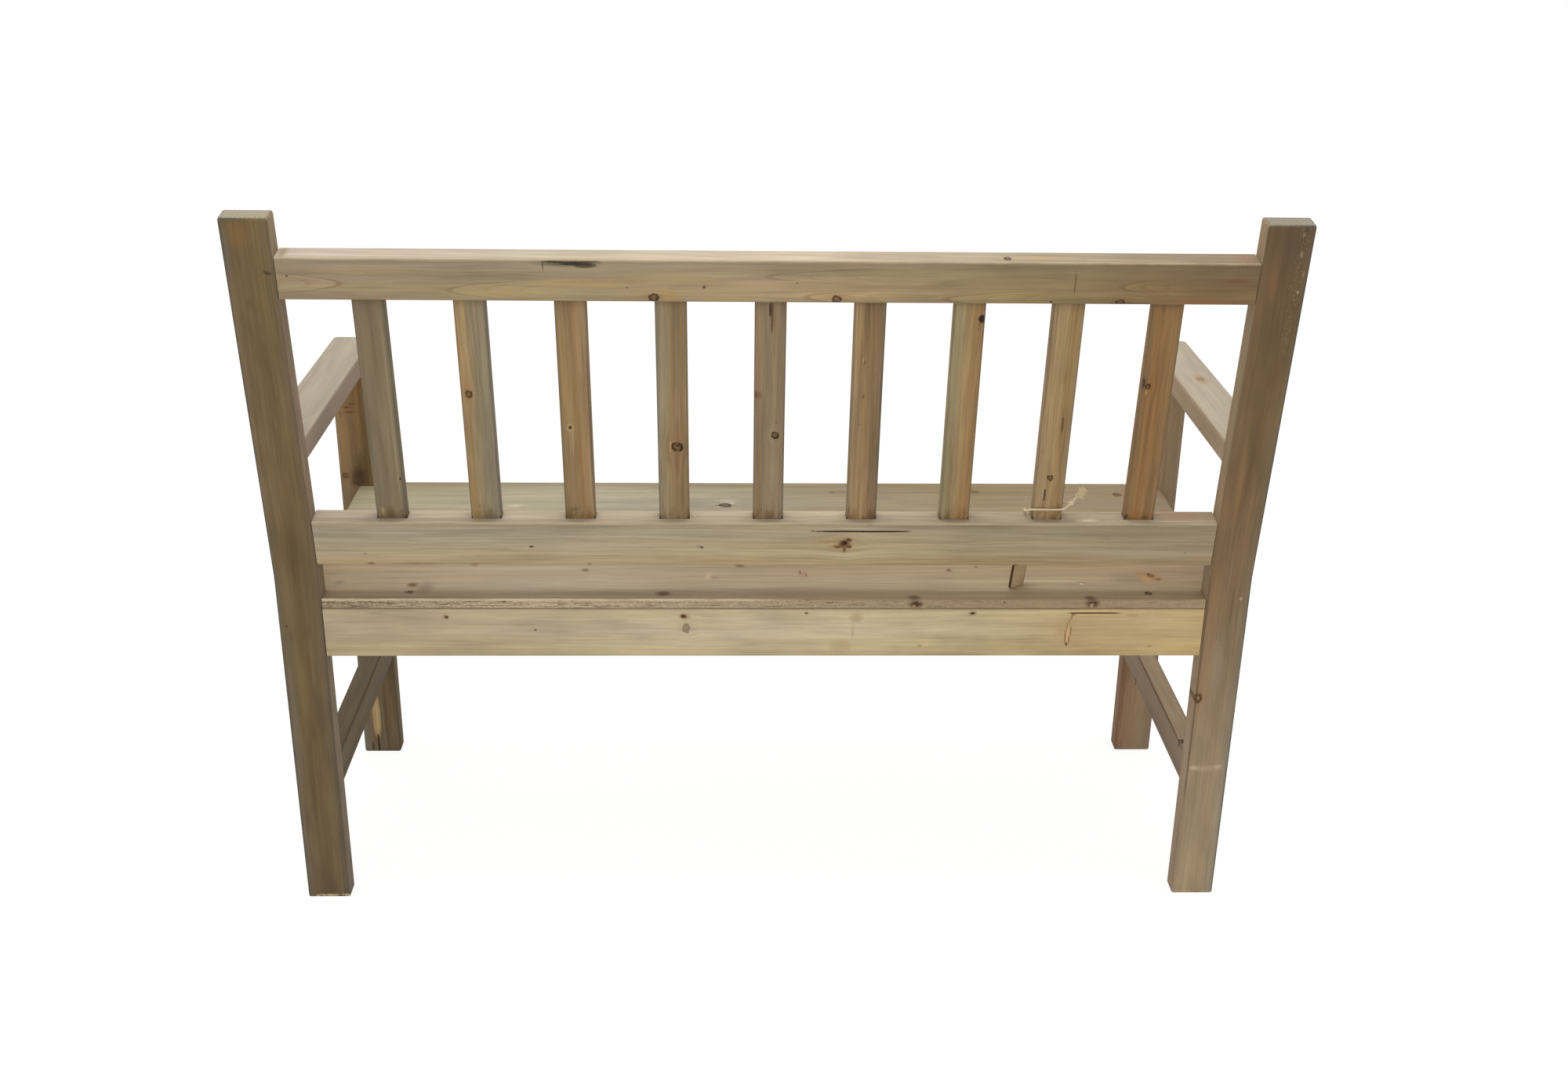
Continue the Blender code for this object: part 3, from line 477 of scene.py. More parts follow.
    def mark(self, marks):
        """Marks are along, sideways, half length and half width in mm, tone, strength and
        softness. They are on the face towards +through, or on the one towards +across where
        an eighth value says edge. Thin dark ones are sunk, and long thin ones end square."""
        for where, beside, length, breadth, tone, strength, soft, *face in marks:
            sideways, below = self.across, self.depth - self.through
            if face:
                sideways, below = self.through, self.width - self.across
            thin = breadth < 2
            wobble = self.waver * 0.0012 if thin else self.ragged * MM
            du = (self.along - where * MM) / (length * MM)
            dv = (sideways + wobble - beside * MM) / (breadth * MM)
            onward = (du * du) ** 2.0 if thin and length > 4 * breadth else du * du
            spot = (onward + dv * dv) ** 0.5 + self.ragged * (0.3 + 0.5 * soft)
            mask = spot.ease(1.0 + 0.35 * soft, 1.0 - 0.8 * soft) * strength
            mask = mask * below.ease(0.0024, 0.0012)
            self.paint(mask, tone)
            if breadth < 1.6 and sum(tone) < 330:
                self.height = self.height - mask * 2.5

    def chalk(self, beside, breadth, low, high, tone):
        """Pale specks in a strip: its middle across and half width in mm, and its ends in m."""
        specks = self.place.noise(CHALK, self.seed + 31, 2.0, 0.65).ease(0.60, 0.69)
        strip = (((self.across - beside * MM) / (breadth * MM)) ** 2.0).bell()
        strip = strip * self.along.ease(low - 0.03, low) * self.along.ease(high + 0.03, high)
        self.paint(specks * strip * 0.5, tone)

    def wear(self, arris, worn, eased, outer, shaded):
        """Arrises darkened to the tone arris, partly by wear and partly as painted shade on their
        rounded edges, where two of the ways to the side, the face and the end are short together.
        outer is the side, 1 or -1 across, that is darkened more, and shaded paints shade along the
        arris of the face towards -across."""
        if shaded:
            beside = (self.width + self.across) + (self.depth - self.through)
            self.tint((beside + self.ragged * 0.001).ease(0.0022, 0.0008) * shaded,
                      (0.50, 0.52, 0.54))
        edge = (self.to_side + self.to_face).least(self.to_side + self.to_end)
        edge = edge.least(self.to_face + self.to_end)
        # worn edges, partly painted shade
        rubbed = (edge + self.ragged * 0.0016 + self.fibre * 0.002).ease(
            0.0030 * eased, 0.0012 * eased) * worn
        if outer:
            rubbed = rubbed * ((self.across * outer).ease(-0.008, 0.008) * 0.8 + 0.2)
        self.paint(rubbed, arris)

    def catch_light(self, strength, tone, *reach):
        """The arris of the face towards +across, pale in patches with a thin shade under it;
        reach is where it starts and where it is full, along in m."""
        edge = (self.width - self.across) + (self.depth - self.through)
        shown = self.place.noise(LIT_EDGE, self.seed + 35, 2.0, 0.6).ease(0.30, 0.62)
        shown = (shown * 0.6 + 0.4) * strength
        if reach:
            shown = shown * self.along.ease(*reach)
        self.paint((edge + self.ragged * 0.0012).ease(0.0030, 0.0012) * shown, tone)
        self.tint(abs(edge - 0.0042).ease(0.0012, 0.0004) * 0.4 * shown, (0.5, 0.46, 0.42))

    def scuff(self, strength):
        """Pale chips round the foot."""
        chips = self.place.noise(CHIPS, self.seed + 33, 2.0, 0.6).ease(0.46, 0.58)
        edge = (self.along - self.ends[0]) + self.to_face
        self.paint((edge + self.ragged * 0.002).ease(0.0062, 0.0036) * chips * strength,
                   (206, 186, 150))

    def cut_ends(self, tone):
        """End grain: rays and rings on a tone of its own, darker at the rim."""
        rays = self.place.noise(RAYS, self.seed + 13, 3.0, 0.65) - 0.5
        rim = (self.to_side.least(self.to_face) + self.ragged * 0.002).ease(0.0042, 0.0012)
        cut = self.base.node("ShaderNodeVectorMath", {
            0: card(*tone)[:3], "Scale": 1.0 + rays * 0.9 - self.late * 0.35 - rim * 0.35},
            operation="SCALE")
        self.colour = (self.to_end.ease(0.0007, 0.0002) * 0.9).paint_over(self.colour, cut)

    def close(self):
        """Puts the colour, the roughness of the grain and the height on the shader."""
        roughness = 0.74 + self.fibre * 0.16 + self.late * 0.05 + self.cloud * 0.08
        normal = self.base.node("ShaderNodeBump", {"Strength": 0.55, "Distance": 0.0007,
                                                   "Height": self.height})
        self.shader.inputs["Specular IOR Level"].default_value = 0.16
        connect(self.shader, Base_Color=self.colour, Roughness=roughness, Normal=normal)
        return self.finish


def softwood(name, axes, seed, tones, run=(), gain=1.0, top=None, flank=None, heart=(14, -46),
             ring=4.6, taper=0.018, streak=1.0, blotch=1.0, rings=1.0, warm=0.5, cool=0.5,
             knots=(), tongues=(), marks=(), arris=(84, 80, 74), worn=0.5, eased=1.0, outer=0,
             sawn=(), grime=0.0, shaded=0.0, lit=(), chalk=(), scuffed=0.0,
             end_tone=(132, 122, 98)):
    """Softwood in one piece. streak, blotch and rings are how strongly its fibres, clouds and
    growth rings show, and warm and cool its amber and olive; the layers say what the rest mean."""
    wood = Softwood(name, axes, seed)
    wood.bend_round(knots)
    wood.grow(heart, ring, taper)
    wood.colour_in(tones, run, gain, streak, blotch, rings)
    wood.weather(warm, cool)
    wood.draw_tongues(tongues)
    if knots:
        wood.paint_knots()
    if sawn:
        wood.leave_sawn(sawn)
    # painted light on the tops of rails, and painted light and shade on the sides of pieces
    wood.shade_sides(top, flank)
    # dirt and painted shade where slats stand in their rails
    if grime:
        wood.soil(grime)
    wood.mark(marks)
    if chalk:
        wood.chalk(*chalk)
    # arrises darkened by wear and by painted shade
    wood.wear(arris, worn, eased, outer, shaded)
    if lit:
        wood.catch_light(*lit)
    if scuffed:
        wood.scuff(scuffed)
    wood.cut_ends(end_tone)
    return wood.close()


def dress(node, finish):
    """Gives a CAD node one finish."""
    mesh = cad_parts[node].data
    mesh.materials.clear()
    mesh.materials.append(finish)


def timber(node, order, leaned=False, **look):
    """Dresses a straight piece; order names the axes along, across and through it."""
    dress(node, softwood(node, lambda base: piece_axes(base, node, order, leaned), **look))


def post(node, **look):
    """Dresses a cranked post."""
    dress(node, softwood(node, lambda base: post_axes(base, node), **look))


DARK = (52, 40, 32)
UNDER_THE_SEAT = dict(tones=((128, 110, 88), (128, 110, 88)), streak=1.2)


def finish_the_posts():
    """Posts: along is from the knee, across is towards the sitter's left."""
    post("rear_post_left", seed=1, heart=(-70, 22), ring=5.2, streak=0.95, blotch=2.5, rings=0.3,
         gain=0.85, flank=(1.80, 1.80, 2.02), eased=1.3, outer=1, scuffed=0.8,
         tones=((107, 93, 72), (111, 94, 66), (106, 87, 60), (113, 95, 67), (112, 97, 74)),
         run=((0.91, 0.94, 1.06), (0.97, 0.98, 0.98), (0.97, 0.95, 0.94), (1.07, 1.05, 1.03),
              (1.09, 1.08, 1)),
         arris=(70, 72, 70), worn=0.75, end_tone=(154, 146, 127),
         marks=((396, -19.5, 2.2, 5, (62, 54, 42), 0.75, 0.7),
                (398, -16, 1.6, 3, (70, 58, 44), 0.7, 0.7),
                (-65, 18, 2.0, 1.6, DARK, 0.75, 0.5),
                (-150, 6, 60, 9, (122, 104, 66), 0.5, 1.0),
                (-190, -12, 40, 6, (82, 68, 48), 0.45, 1.0),
                (420, 22, 34, 2.6, (92, 94, 90), 0.5, 0.9),
                (360, 6, 8, 5, (92, 74, 50), 0.4, 1.0),
                (330, 2, 70, 2.6, (92, 72, 48), 0.4, 1.0),
                (442, 8, 20, 14, (128, 98, 58), 0.5, 1.0),
                (-300, 6, 90, 3, (92, 72, 50), 0.35, 1.0),
                (-120, -4, 80, 2.6, (94, 72, 46), 0.4, 1.0),
                (-200, 20, 120, 4, (112, 102, 88), 0.4, 1.0)))
    post("rear_post_right", seed=2, heart=(62, 30), ring=5.6, streak=0.8, blotch=2.2, rings=0.3,
         gain=1.06, flank=((1.01, 0.99, 1.07), (1.90, 2.20, 2.58)), eased=1.3, outer=-1,
         scuffed=0.25,
         tones=((118, 105, 86), (124, 104, 80), (122, 101, 76), (124, 104, 78), (125, 104, 80)),
         run=((1.51, 1.64, 1.77), (1.27, 1.34, 1.44), (0.86, 0.82, 0.76), (0.73, 0.68, 0.58),
              (0.62, 0.57, 0.51)),
         arris=(78, 78, 76), worn=0.7, end_tone=(138, 133, 117),
         chalk=(-15, 7.5, 0.32, 0.455, (176, 164, 142)),
         knots=((-166, 22.7, 6.0, 5.0, 0.65, 0.7, 0.5),),
         marks=((-269, 1.5, 5.0, 23, (182, 162, 140), 0.34, 1.0),
                (-268, 17, 3.4, 6, (196, 172, 146), 0.5, 0.9),
                (-266, -14, 3.0, 7, (190, 172, 150), 0.4, 0.9),
                (-166, 22.7, 1.3, 1.1, (188, 150, 116), 0.8, 0.5),
                (381, -18.6, 2.4, 1.3, (160, 144, 118), 0.7, 0.6),
                (426, -15.5, 4.5, 1.8, (150, 138, 116), 0.6, 0.8),
                (402, -21, 3, 1.2, (146, 134, 114), 0.5, 0.8),
                (449, -14, 2.4, 2.6, (150, 136, 112), 0.5, 0.8),
                (-27, -15.8, 2.2, 1.6, (188, 156, 118), 0.75, 0.6),
                (-165, 25.2, 165, 1.1, (88, 64, 42), 0.65, 0.6),
                (-36, -6, 26, 1.1, (92, 70, 48), 0.5, 0.7),
                (130, 9, 60, 5, (138, 106, 70), 0.5, 1.0),
                (150, 0, 50, 3.4, (96, 72, 46), 0.5, 1.0),
                (330, 6, 40, 12, (92, 76, 54), 0.5, 1.0),
                (405, 12, 34, 7, (134, 100, 66), 0.5, 1.0),
                (-120, 4, 50, 8, (150, 130, 112), 0.45, 1.0),
                (430, 4, 40, 20, (92, 78, 60), 0.45, 1.0)))


def finish_the_sides():
    """Legs, arms, side rails and stretchers: a leg is measured up from the floor, the others
    along the bench's depth from its middle."""
    timber("front_leg_left", "zxy", seed=3, heart=(30, -40), streak=0.9, rings=0.5,
           tones=((112, 90, 62), (115, 94, 64), (128, 108, 81), (135, 117, 91)), cool=0.2,
           run=((0.83, 0.96, 1.15), (0.83, 0.92, 0.97), (0.87, 0.88, 0.86), (1.09, 1, 0.92),
                (1.39, 1.24, 1.09)),
           arris=(66, 66, 66), worn=0.6, end_tone=(120, 104, 82),
           knots=((449, 19, 4, 4, 0.6, 0.2, 0.5), (437, 3, 3, 3, 0.6, 0.2, 0.4)),
           marks=((64, 6, 42, 7.6, (170, 142, 102), 0.95, 0.4),
                  (50, 12, 30, 1.6, (126, 92, 58), 0.7, 0.6),
                  (60, 4.4, 30, 1.4, (192, 162, 118), 0.7, 0.6),
                  (14, 5.2, 17, 1.3, (34, 22, 16), 0.98, 0.3),
                  (20, 9, 12, 4, (116, 82, 52), 0.6, 0.8),
                  (10, 14, 9, 2.2, (62, 44, 30), 0.7, 0.7),
                  (70, -8, 60, 3, (86, 68, 46), 0.6, 1.0),
                  (50, -18, 50, 3, (124, 104, 76), 0.5, 1.0),
                  (160, -7, 60, 3, (132, 92, 56), 0.6, 1.0),
                  (500, 16, 60, 8, (140, 112, 74), 0.5, 1.0),
                  (551, 10, 1.6, 9, (104, 62, 36), 0.85, 0.8),
                  (556, 2, 1.6, 8, (112, 66, 40), 0.8, 0.8),
                  (544, 8, 1.4, 10, (96, 58, 34), 0.75, 0.8),
                  (560, 14, 10, 3, (128, 84, 50), 0.6, 1.0),
                  (540, 19, 6, 1.8, (70, 44, 28), 0.8, 0.7),
                  (480, 3, 60, 7, (104, 84, 56), 0.55, 1.0),
                  (462, -6, 26, 12, (88, 70, 44), 0.7, 1.0),
                  (446, 0, 18, 13, (62, 46, 30), 0.85, 1.0),
                  (530, 18, 50, 7, (156, 126, 86), 0.55, 1.0),
                  (500, -12, 60, 7, (84, 68, 46), 0.5, 1.0)))
    timber("front_leg_right", "zxy", seed=4, heart=(30, -40), streak=0.8, rings=0.5,
           tones=((138, 119, 98), (148, 125, 98), (147, 121, 95), (136, 104, 80)),
           arris=(80, 76, 72), worn=0.5, end_tone=(120, 104, 82),
           marks=((115, 5, 3, 1.0, (96, 62, 40), 0.7, 0.6),
                  (90, 22, 70, 2.4, (120, 76, 50), 0.5, 0.9)))
    arms = (("left", 1, dict(seed=5, flank=(0.81, 0.73, 0.73))),
            ("right", -1, dict(seed=6, gain=1.1, flank=(0.93, 0.80, 0.71),
                               knots=((-64, -6, 6, 5, 0.35, 0.1, 0.5),),
                               marks=((-64, -6, 20, 8, (150, 124, 88), 0.5, 0.9),))))
    for hand, side, look in arms:
        timber(f"arm_{hand}", "yxz", heart=(-10 * side, -60), ring=5.5, streak=0.4, rings=0.6,
               tones=((154, 144, 126), (160, 149, 132), (158, 147, 129)), arris=(138, 120, 96),
               worn=0.3, end_tone=(136, 120, 96), warm=0.2, **look)
        timber(f"seat_side_rail_{hand}", "yzx", seed=look["seed"] + 30, **UNDER_THE_SEAT)
    timber("side_stretcher_left", "yzx", seed=7, tones=((102, 89, 70), (110, 96, 74)),
           flank=(1.22, 1.28, 1.42), rings=0.5,
           streak=0.8, arris=(78, 72, 62), heart=(50, 40))
    timber("side_stretcher_right", "yzx", seed=8, tones=((131, 112, 94), (147, 128, 107)),
           flank=(1.54, 1.54, 1.50), rings=0.5,
           streak=0.8, arris=(98, 84, 68), heart=(50, 40),
           marks=((126, 8, 6, 5, (92, 66, 44), 0.85, 0.8, "edge"),
                  (122, 9, 1.2, 6, (44, 30, 20), 0.85, 0.5, "edge"),
                  (130, 10, 1.2, 5, (44, 30, 20), 0.8, 0.5, "edge"),
                  (127, 18, 5, 3, (84, 56, 38), 0.7, 0.8),
                  (-20, 12.2, 150, 1.0, (106, 80, 56), 0.35, 0.8, "edge"),
                  (-124, -17, 5, 3, (92, 58, 38), 0.8, 0.8),
                  (-67, -17, 6, 3, (168, 140, 108), 0.6, 0.8)))


def finish_the_rails():
    """Rails and aprons: along is towards the sitter's left, across is upwards."""
    timber("back_top_rail", "xzy", leaned=True, seed=9, heart=(-16, -26), ring=7.0,
           taper=0.045, rings=0.6, streak=0.85, gain=0.91, blotch=1.3,
           tongues=((477, -5, 130, 17, 1.0), (355, -12, -170, 16, 0.9), (446, 8, 60, 8, 0.4),
                    (-38, -18, -150, 12, 1.1), (-193, -19, -180, 13, 1.0),
                    (-392, -4, -110, 13, 1.5), (0, 6, -190, 12, 0.9)),
           tones=((149, 131, 99), (155, 137, 103), (150, 131, 101), (149, 133, 104),
                  (145, 131, 107)),
           run=((0.6, 0.52, 0.48), (0.84, 0.81, 0.73), (1.24, 1.21, 1.25), (1.07, 1.12, 1.18),
                (0.99, 0.97, 1.07)), top=(1.50, 1.56, 1.77), arris=(128, 112, 86),
           worn=0.3, lit=(0.6, (182, 164, 134)),
           knots=((130.7, -19.5, 5.5, 4.6, 0.9, 0.1, 0.75), (-73, -20.2, 5, 4.2, 0.85, 0, 0.5),
                  (-392, -22.5, 5, 3.4, 0.9, 0.7, 0.7)),
           marks=((300, -15, 60, 5, (176, 150, 98), 0.4, 1.0),
                  (215, -3, 60, 6, (176, 150, 98), 0.45, 1.0),
                  (110, 4, 70, 6, (172, 148, 100), 0.35, 1.0),
                  (450, 10, 60, 5, (168, 144, 98), 0.35, 1.0),
                  (226, 20.5, 36, 4.4, (84, 78, 62), 0.85, 0.8),
                  (222, 22.6, 34, 1.7, (44, 42, 36), 0.95, 0.5),
                  (214, 19.6, 20, 1.2, (40, 36, 30), 0.9, 0.5),
                  (206, 17.5, 14, 2.6, (62, 56, 44), 0.85, 0.6),
                  (252, 17, 0.8, 6, (74, 64, 50), 0.8, 0.5),
                  (74.6, -6.6, 2.2, 1.9, (70, 56, 44), 0.9, 0.5),
                  (160, -7.7, 1.0, 1.0, (84, 68, 50), 0.7, 0.5),
                  (533, 3.4, 1.4, 1.3, (62, 48, 36), 0.8, 0.5),
                  (-28.6, -1.6, 1.4, 1.1, (92, 76, 56), 0.7, 0.6),
                  (-339, 0, 0.8, 15, (60, 46, 34), 0.6, 0.4),
                  (-475, -20, 62, 4.5, (130, 86, 54), 0.5, 1.0),
                  (-404, -23.6, 24, 1.4, (70, 46, 30), 0.7, 0.7),
                  (-440, 2, 110, 22, (122, 98, 68), 0.4, 1.0),
                  (-520, 4, 20, 3, (108, 70, 44), 0.5, 1.0),
                  (-314, -22, 1.8, 1.4, DARK, 0.8, 0.5),
                  (112, -17, 11, 7, (168, 132, 78), 0.5, 1.0),
                  (-262.5, 4.6, 5.0, 5.6, (60, 48, 36), 0.98, 0.5, "edge"),
                  (-262.5, 5.0, 1.8, 2.0, (150, 132, 108), 0.7, 0.5, "edge"),
                  (-300, 2, 40, 5, (200, 164, 124), 0.4, 1.0, "edge"),
                  (-530, 0, 12, 18, (140, 108, 80), 0.55, 1.0, "edge"),
                  (538, 0, 5, 18, (130, 112, 84), 0.6, 1.0, "edge")))
    timber("back_lower_rail", "xzy", leaned=True, seed=10, heart=(40, -50), ring=4.6,
           streak=1.0, rings=0.6, cool=0.4,
           tones=((160, 138, 104), (164, 147, 116), (160, 146, 119), (154, 142, 118),
                  (158, 143, 118)),
           run=((0.81, 0.8, 0.8), (0.91, 0.9, 0.88), (1.09, 1.1, 1.07), (0.99, 1.01, 1.05),
                (0.99, 1, 1.05)), top=(1.18, 1.20, 1.30), arris=(122, 102, 76),
           worn=0.25, lit=(0.6, (184, 168, 138)),
           knots=((-93, 1, 7, 7, 0.05, 0.1, 0.35),),
           marks=((-74, 4.4, 16, 1.6, (150, 112, 70), 0.7, 0.9),
                  (-60, 2.8, 14, 1.2, (164, 130, 86), 0.5, 1.0),
                  (-82, -3.4, 9, 3.0, (142, 104, 64), 0.6, 1.0),
                  (-93, 0.5, 10, 8.4, (136, 98, 62), 0.7, 1.0),
                  (-92, 1.5, 6.2, 5.0, (74, 46, 30), 0.95, 0.8),
                  (-98, 6.4, 4.6, 2.6, (82, 52, 32), 0.95, 0.8),
                  (-98.6, -3.2, 4.0, 2.6, (84, 54, 34), 0.9, 0.8),
                  (-85, -3.4, 5.0, 2.2, (96, 62, 38), 0.85, 0.8),
                  (-93, -7.0, 2.4, 4.8, (110, 74, 46), 0.8, 0.8),
                  (-93.5, 2.5, 3.0, 2.8, (42, 26, 18), 0.95, 0.6),
                  (-113.5, 18.6, 60, 1.2, (44, 32, 22), 0.98, 0.2),
                  (-54, 19.4, 2.4, 1.3, (86, 70, 54), 0.7, 0.6),
                  (285, -3.4, 3.0, 2.0, (62, 56, 48), 0.9, 0.6),
                  (300, -5.4, 16, 0.8, (186, 172, 140), 0.6, 0.8),
                  (80, -4.2, 2.6, 1.8, (78, 64, 48), 0.9, 0.6),
                  (84, -2.6, 3.4, 0.9, (106, 92, 72), 0.6, 0.8),
                  (480, -28, 5, 2.0, (84, 58, 40), 0.75, 0.8),
                  (428, -28.3, 38, 2.0, (122, 92, 62), 0.65, 1.0),
                  (355, -29, 6, 1.8, (116, 80, 48), 0.75, 0.8),
                  (34, -30, 8, 2.2, (110, 84, 54), 0.75, 0.8),
                  (216, -28, 2.6, 1.4, (100, 74, 50), 0.75, 0.6),
                  (-304, -29.6, 3, 2.6, (60, 44, 32), 0.85, 0.6),
                  (-255, -30, 3, 1.4, (92, 66, 46), 0.7, 0.6),
                  (-123, 29, 5, 2.4, (120, 98, 72), 0.6, 0.8),
                  (-412, 8.7, 5, 2.6, (134, 116, 90), 0.5, 0.9),
                  (-434, 8, 5, 5, (148, 134, 108), 0.55, 1.0),
                  (-511, -11, 1.8, 2.2, (110, 90, 72), 0.7, 0.8),
                  (-470, 12, 90, 16, (136, 120, 94), 0.5, 1.0),
                  (-460, -12, 80, 8, (158, 146, 124), 0.45, 1.0),
                  (485, -14, 2, 1.6, (118, 96, 74), 0.6, 0.8),
                  (-505, -4, 45, 12, (142, 112, 82), 0.65, 1.0, "edge"),
                  (-470, 10, 70, 2.4, (206, 184, 154), 0.4, 1.0, "edge"),
                  (-388, 8, 14, 4, (214, 196, 164), 0.6, 0.9, "edge")))
    aprons = dict(heart=(20, -60), ring=6.5, streak=0.72, warm=0.35, rings=0.6, blotch=2.2,
                  tones=((174, 156, 121), (180, 162, 127), (182, 165, 136), (184, 166, 134),
                         (181, 164, 131)),
                  run=((0.98, 0.89, 0.7), (0.99, 0.98, 0.92), (1.06, 1.09, 1.15),
                       (0.93, 0.95, 0.98), (0.83, 0.82, 0.85)),
                  arris=(140, 118, 86), worn=0.25)
    timber("rear_apron", "xzy", seed=11, **aprons,
           knots=((99.6, 6.2, 4.2, 6.6, 0.35, 0.2, 0.15),),
           marks=((102, 22.6, 8, 4.2, (136, 102, 62), 0.7, 0.9),
                  (103, 22.8, 4.2, 2.6, (64, 42, 24), 0.95, 0.7),
                  (395, 21.6, 4.6, 3.4, (132, 98, 58), 0.6, 0.9),
                  (394, 21.4, 2.6, 2.0, (72, 48, 28), 0.95, 0.7),
                  (-255, 27, 5.6, 3.4, (112, 92, 60), 0.7, 0.9),
                  (-255, 27, 3.2, 2.0, (56, 42, 24), 0.95, 0.7),
                  (-49, 27, 2.4, 1.8, (86, 68, 42), 0.85, 0.7),
                  (286, 4, 1.7, 1.4, (84, 66, 44), 0.9, 0.5),
                  (479, 27, 14, 2.4, (146, 132, 108), 0.6, 1.0),
                  (-111, 21, 9, 8, (158, 136, 98), 0.55, 0.8),
                  (-107, 4, 2, 12, (160, 138, 100), 0.5, 0.9),
                  (-92, -19, 15, 11, (164, 142, 104), 0.45, 0.7),
                  (-372, 2, 13, 15, (160, 132, 86), 0.45, 1.0),
                  (-376, -3.5, 2.7, 12, (202, 162, 116), 0.85, 0.4),
                  (-373.0, -5, 0.9, 10, (84, 54, 24), 0.95, 0.3),
                  (-374.4, 8, 0.8, 7, (104, 70, 34), 0.85, 0.4),
                  (-379.4, 2, 0.9, 8, (80, 50, 22), 0.95, 0.3),
                  (-377.6, -9, 0.9, 6, (80, 50, 22), 0.95, 0.3),
                  (-375.2, -15.4, 1.8, 2.8, (62, 38, 14), 0.98, 0.4),
                  (-376.6, 15.6, 1.7, 5, (140, 106, 62), 0.75, 0.7),
                  (-379.2, 21.6, 1.5, 4.4, (134, 98, 54), 0.8, 0.7),
                  (-381, 25.6, 3.0, 1.7, (112, 76, 38), 0.85, 0.5),
                  (-407.6, 27.4, 34, 1.0, (70, 42, 16), 0.98, 0.2),
                  (-404, 30.4, 36, 1.2, (206, 178, 134), 0.5, 0.8),
                  (-398, 25.2, 18, 1.0, (208, 168, 118), 0.5, 0.7),
                  (-191, -18, 3.4, 2.2, (150, 122, 84), 0.6, 0.8),
                  (-480, -18.4, 3.4, 2.4, (142, 112, 76), 0.7, 0.8),
                  (-455, 24, 8, 3, (150, 128, 96), 0.5, 0.9),
                  (-320, -22, 3, 2, (156, 128, 90), 0.5, 0.8),
                  (-440, 0, 120, 26, (178, 154, 112), 0.4, 1.0)))
    timber("front_apron", "xzy", seed=12, **aprons)


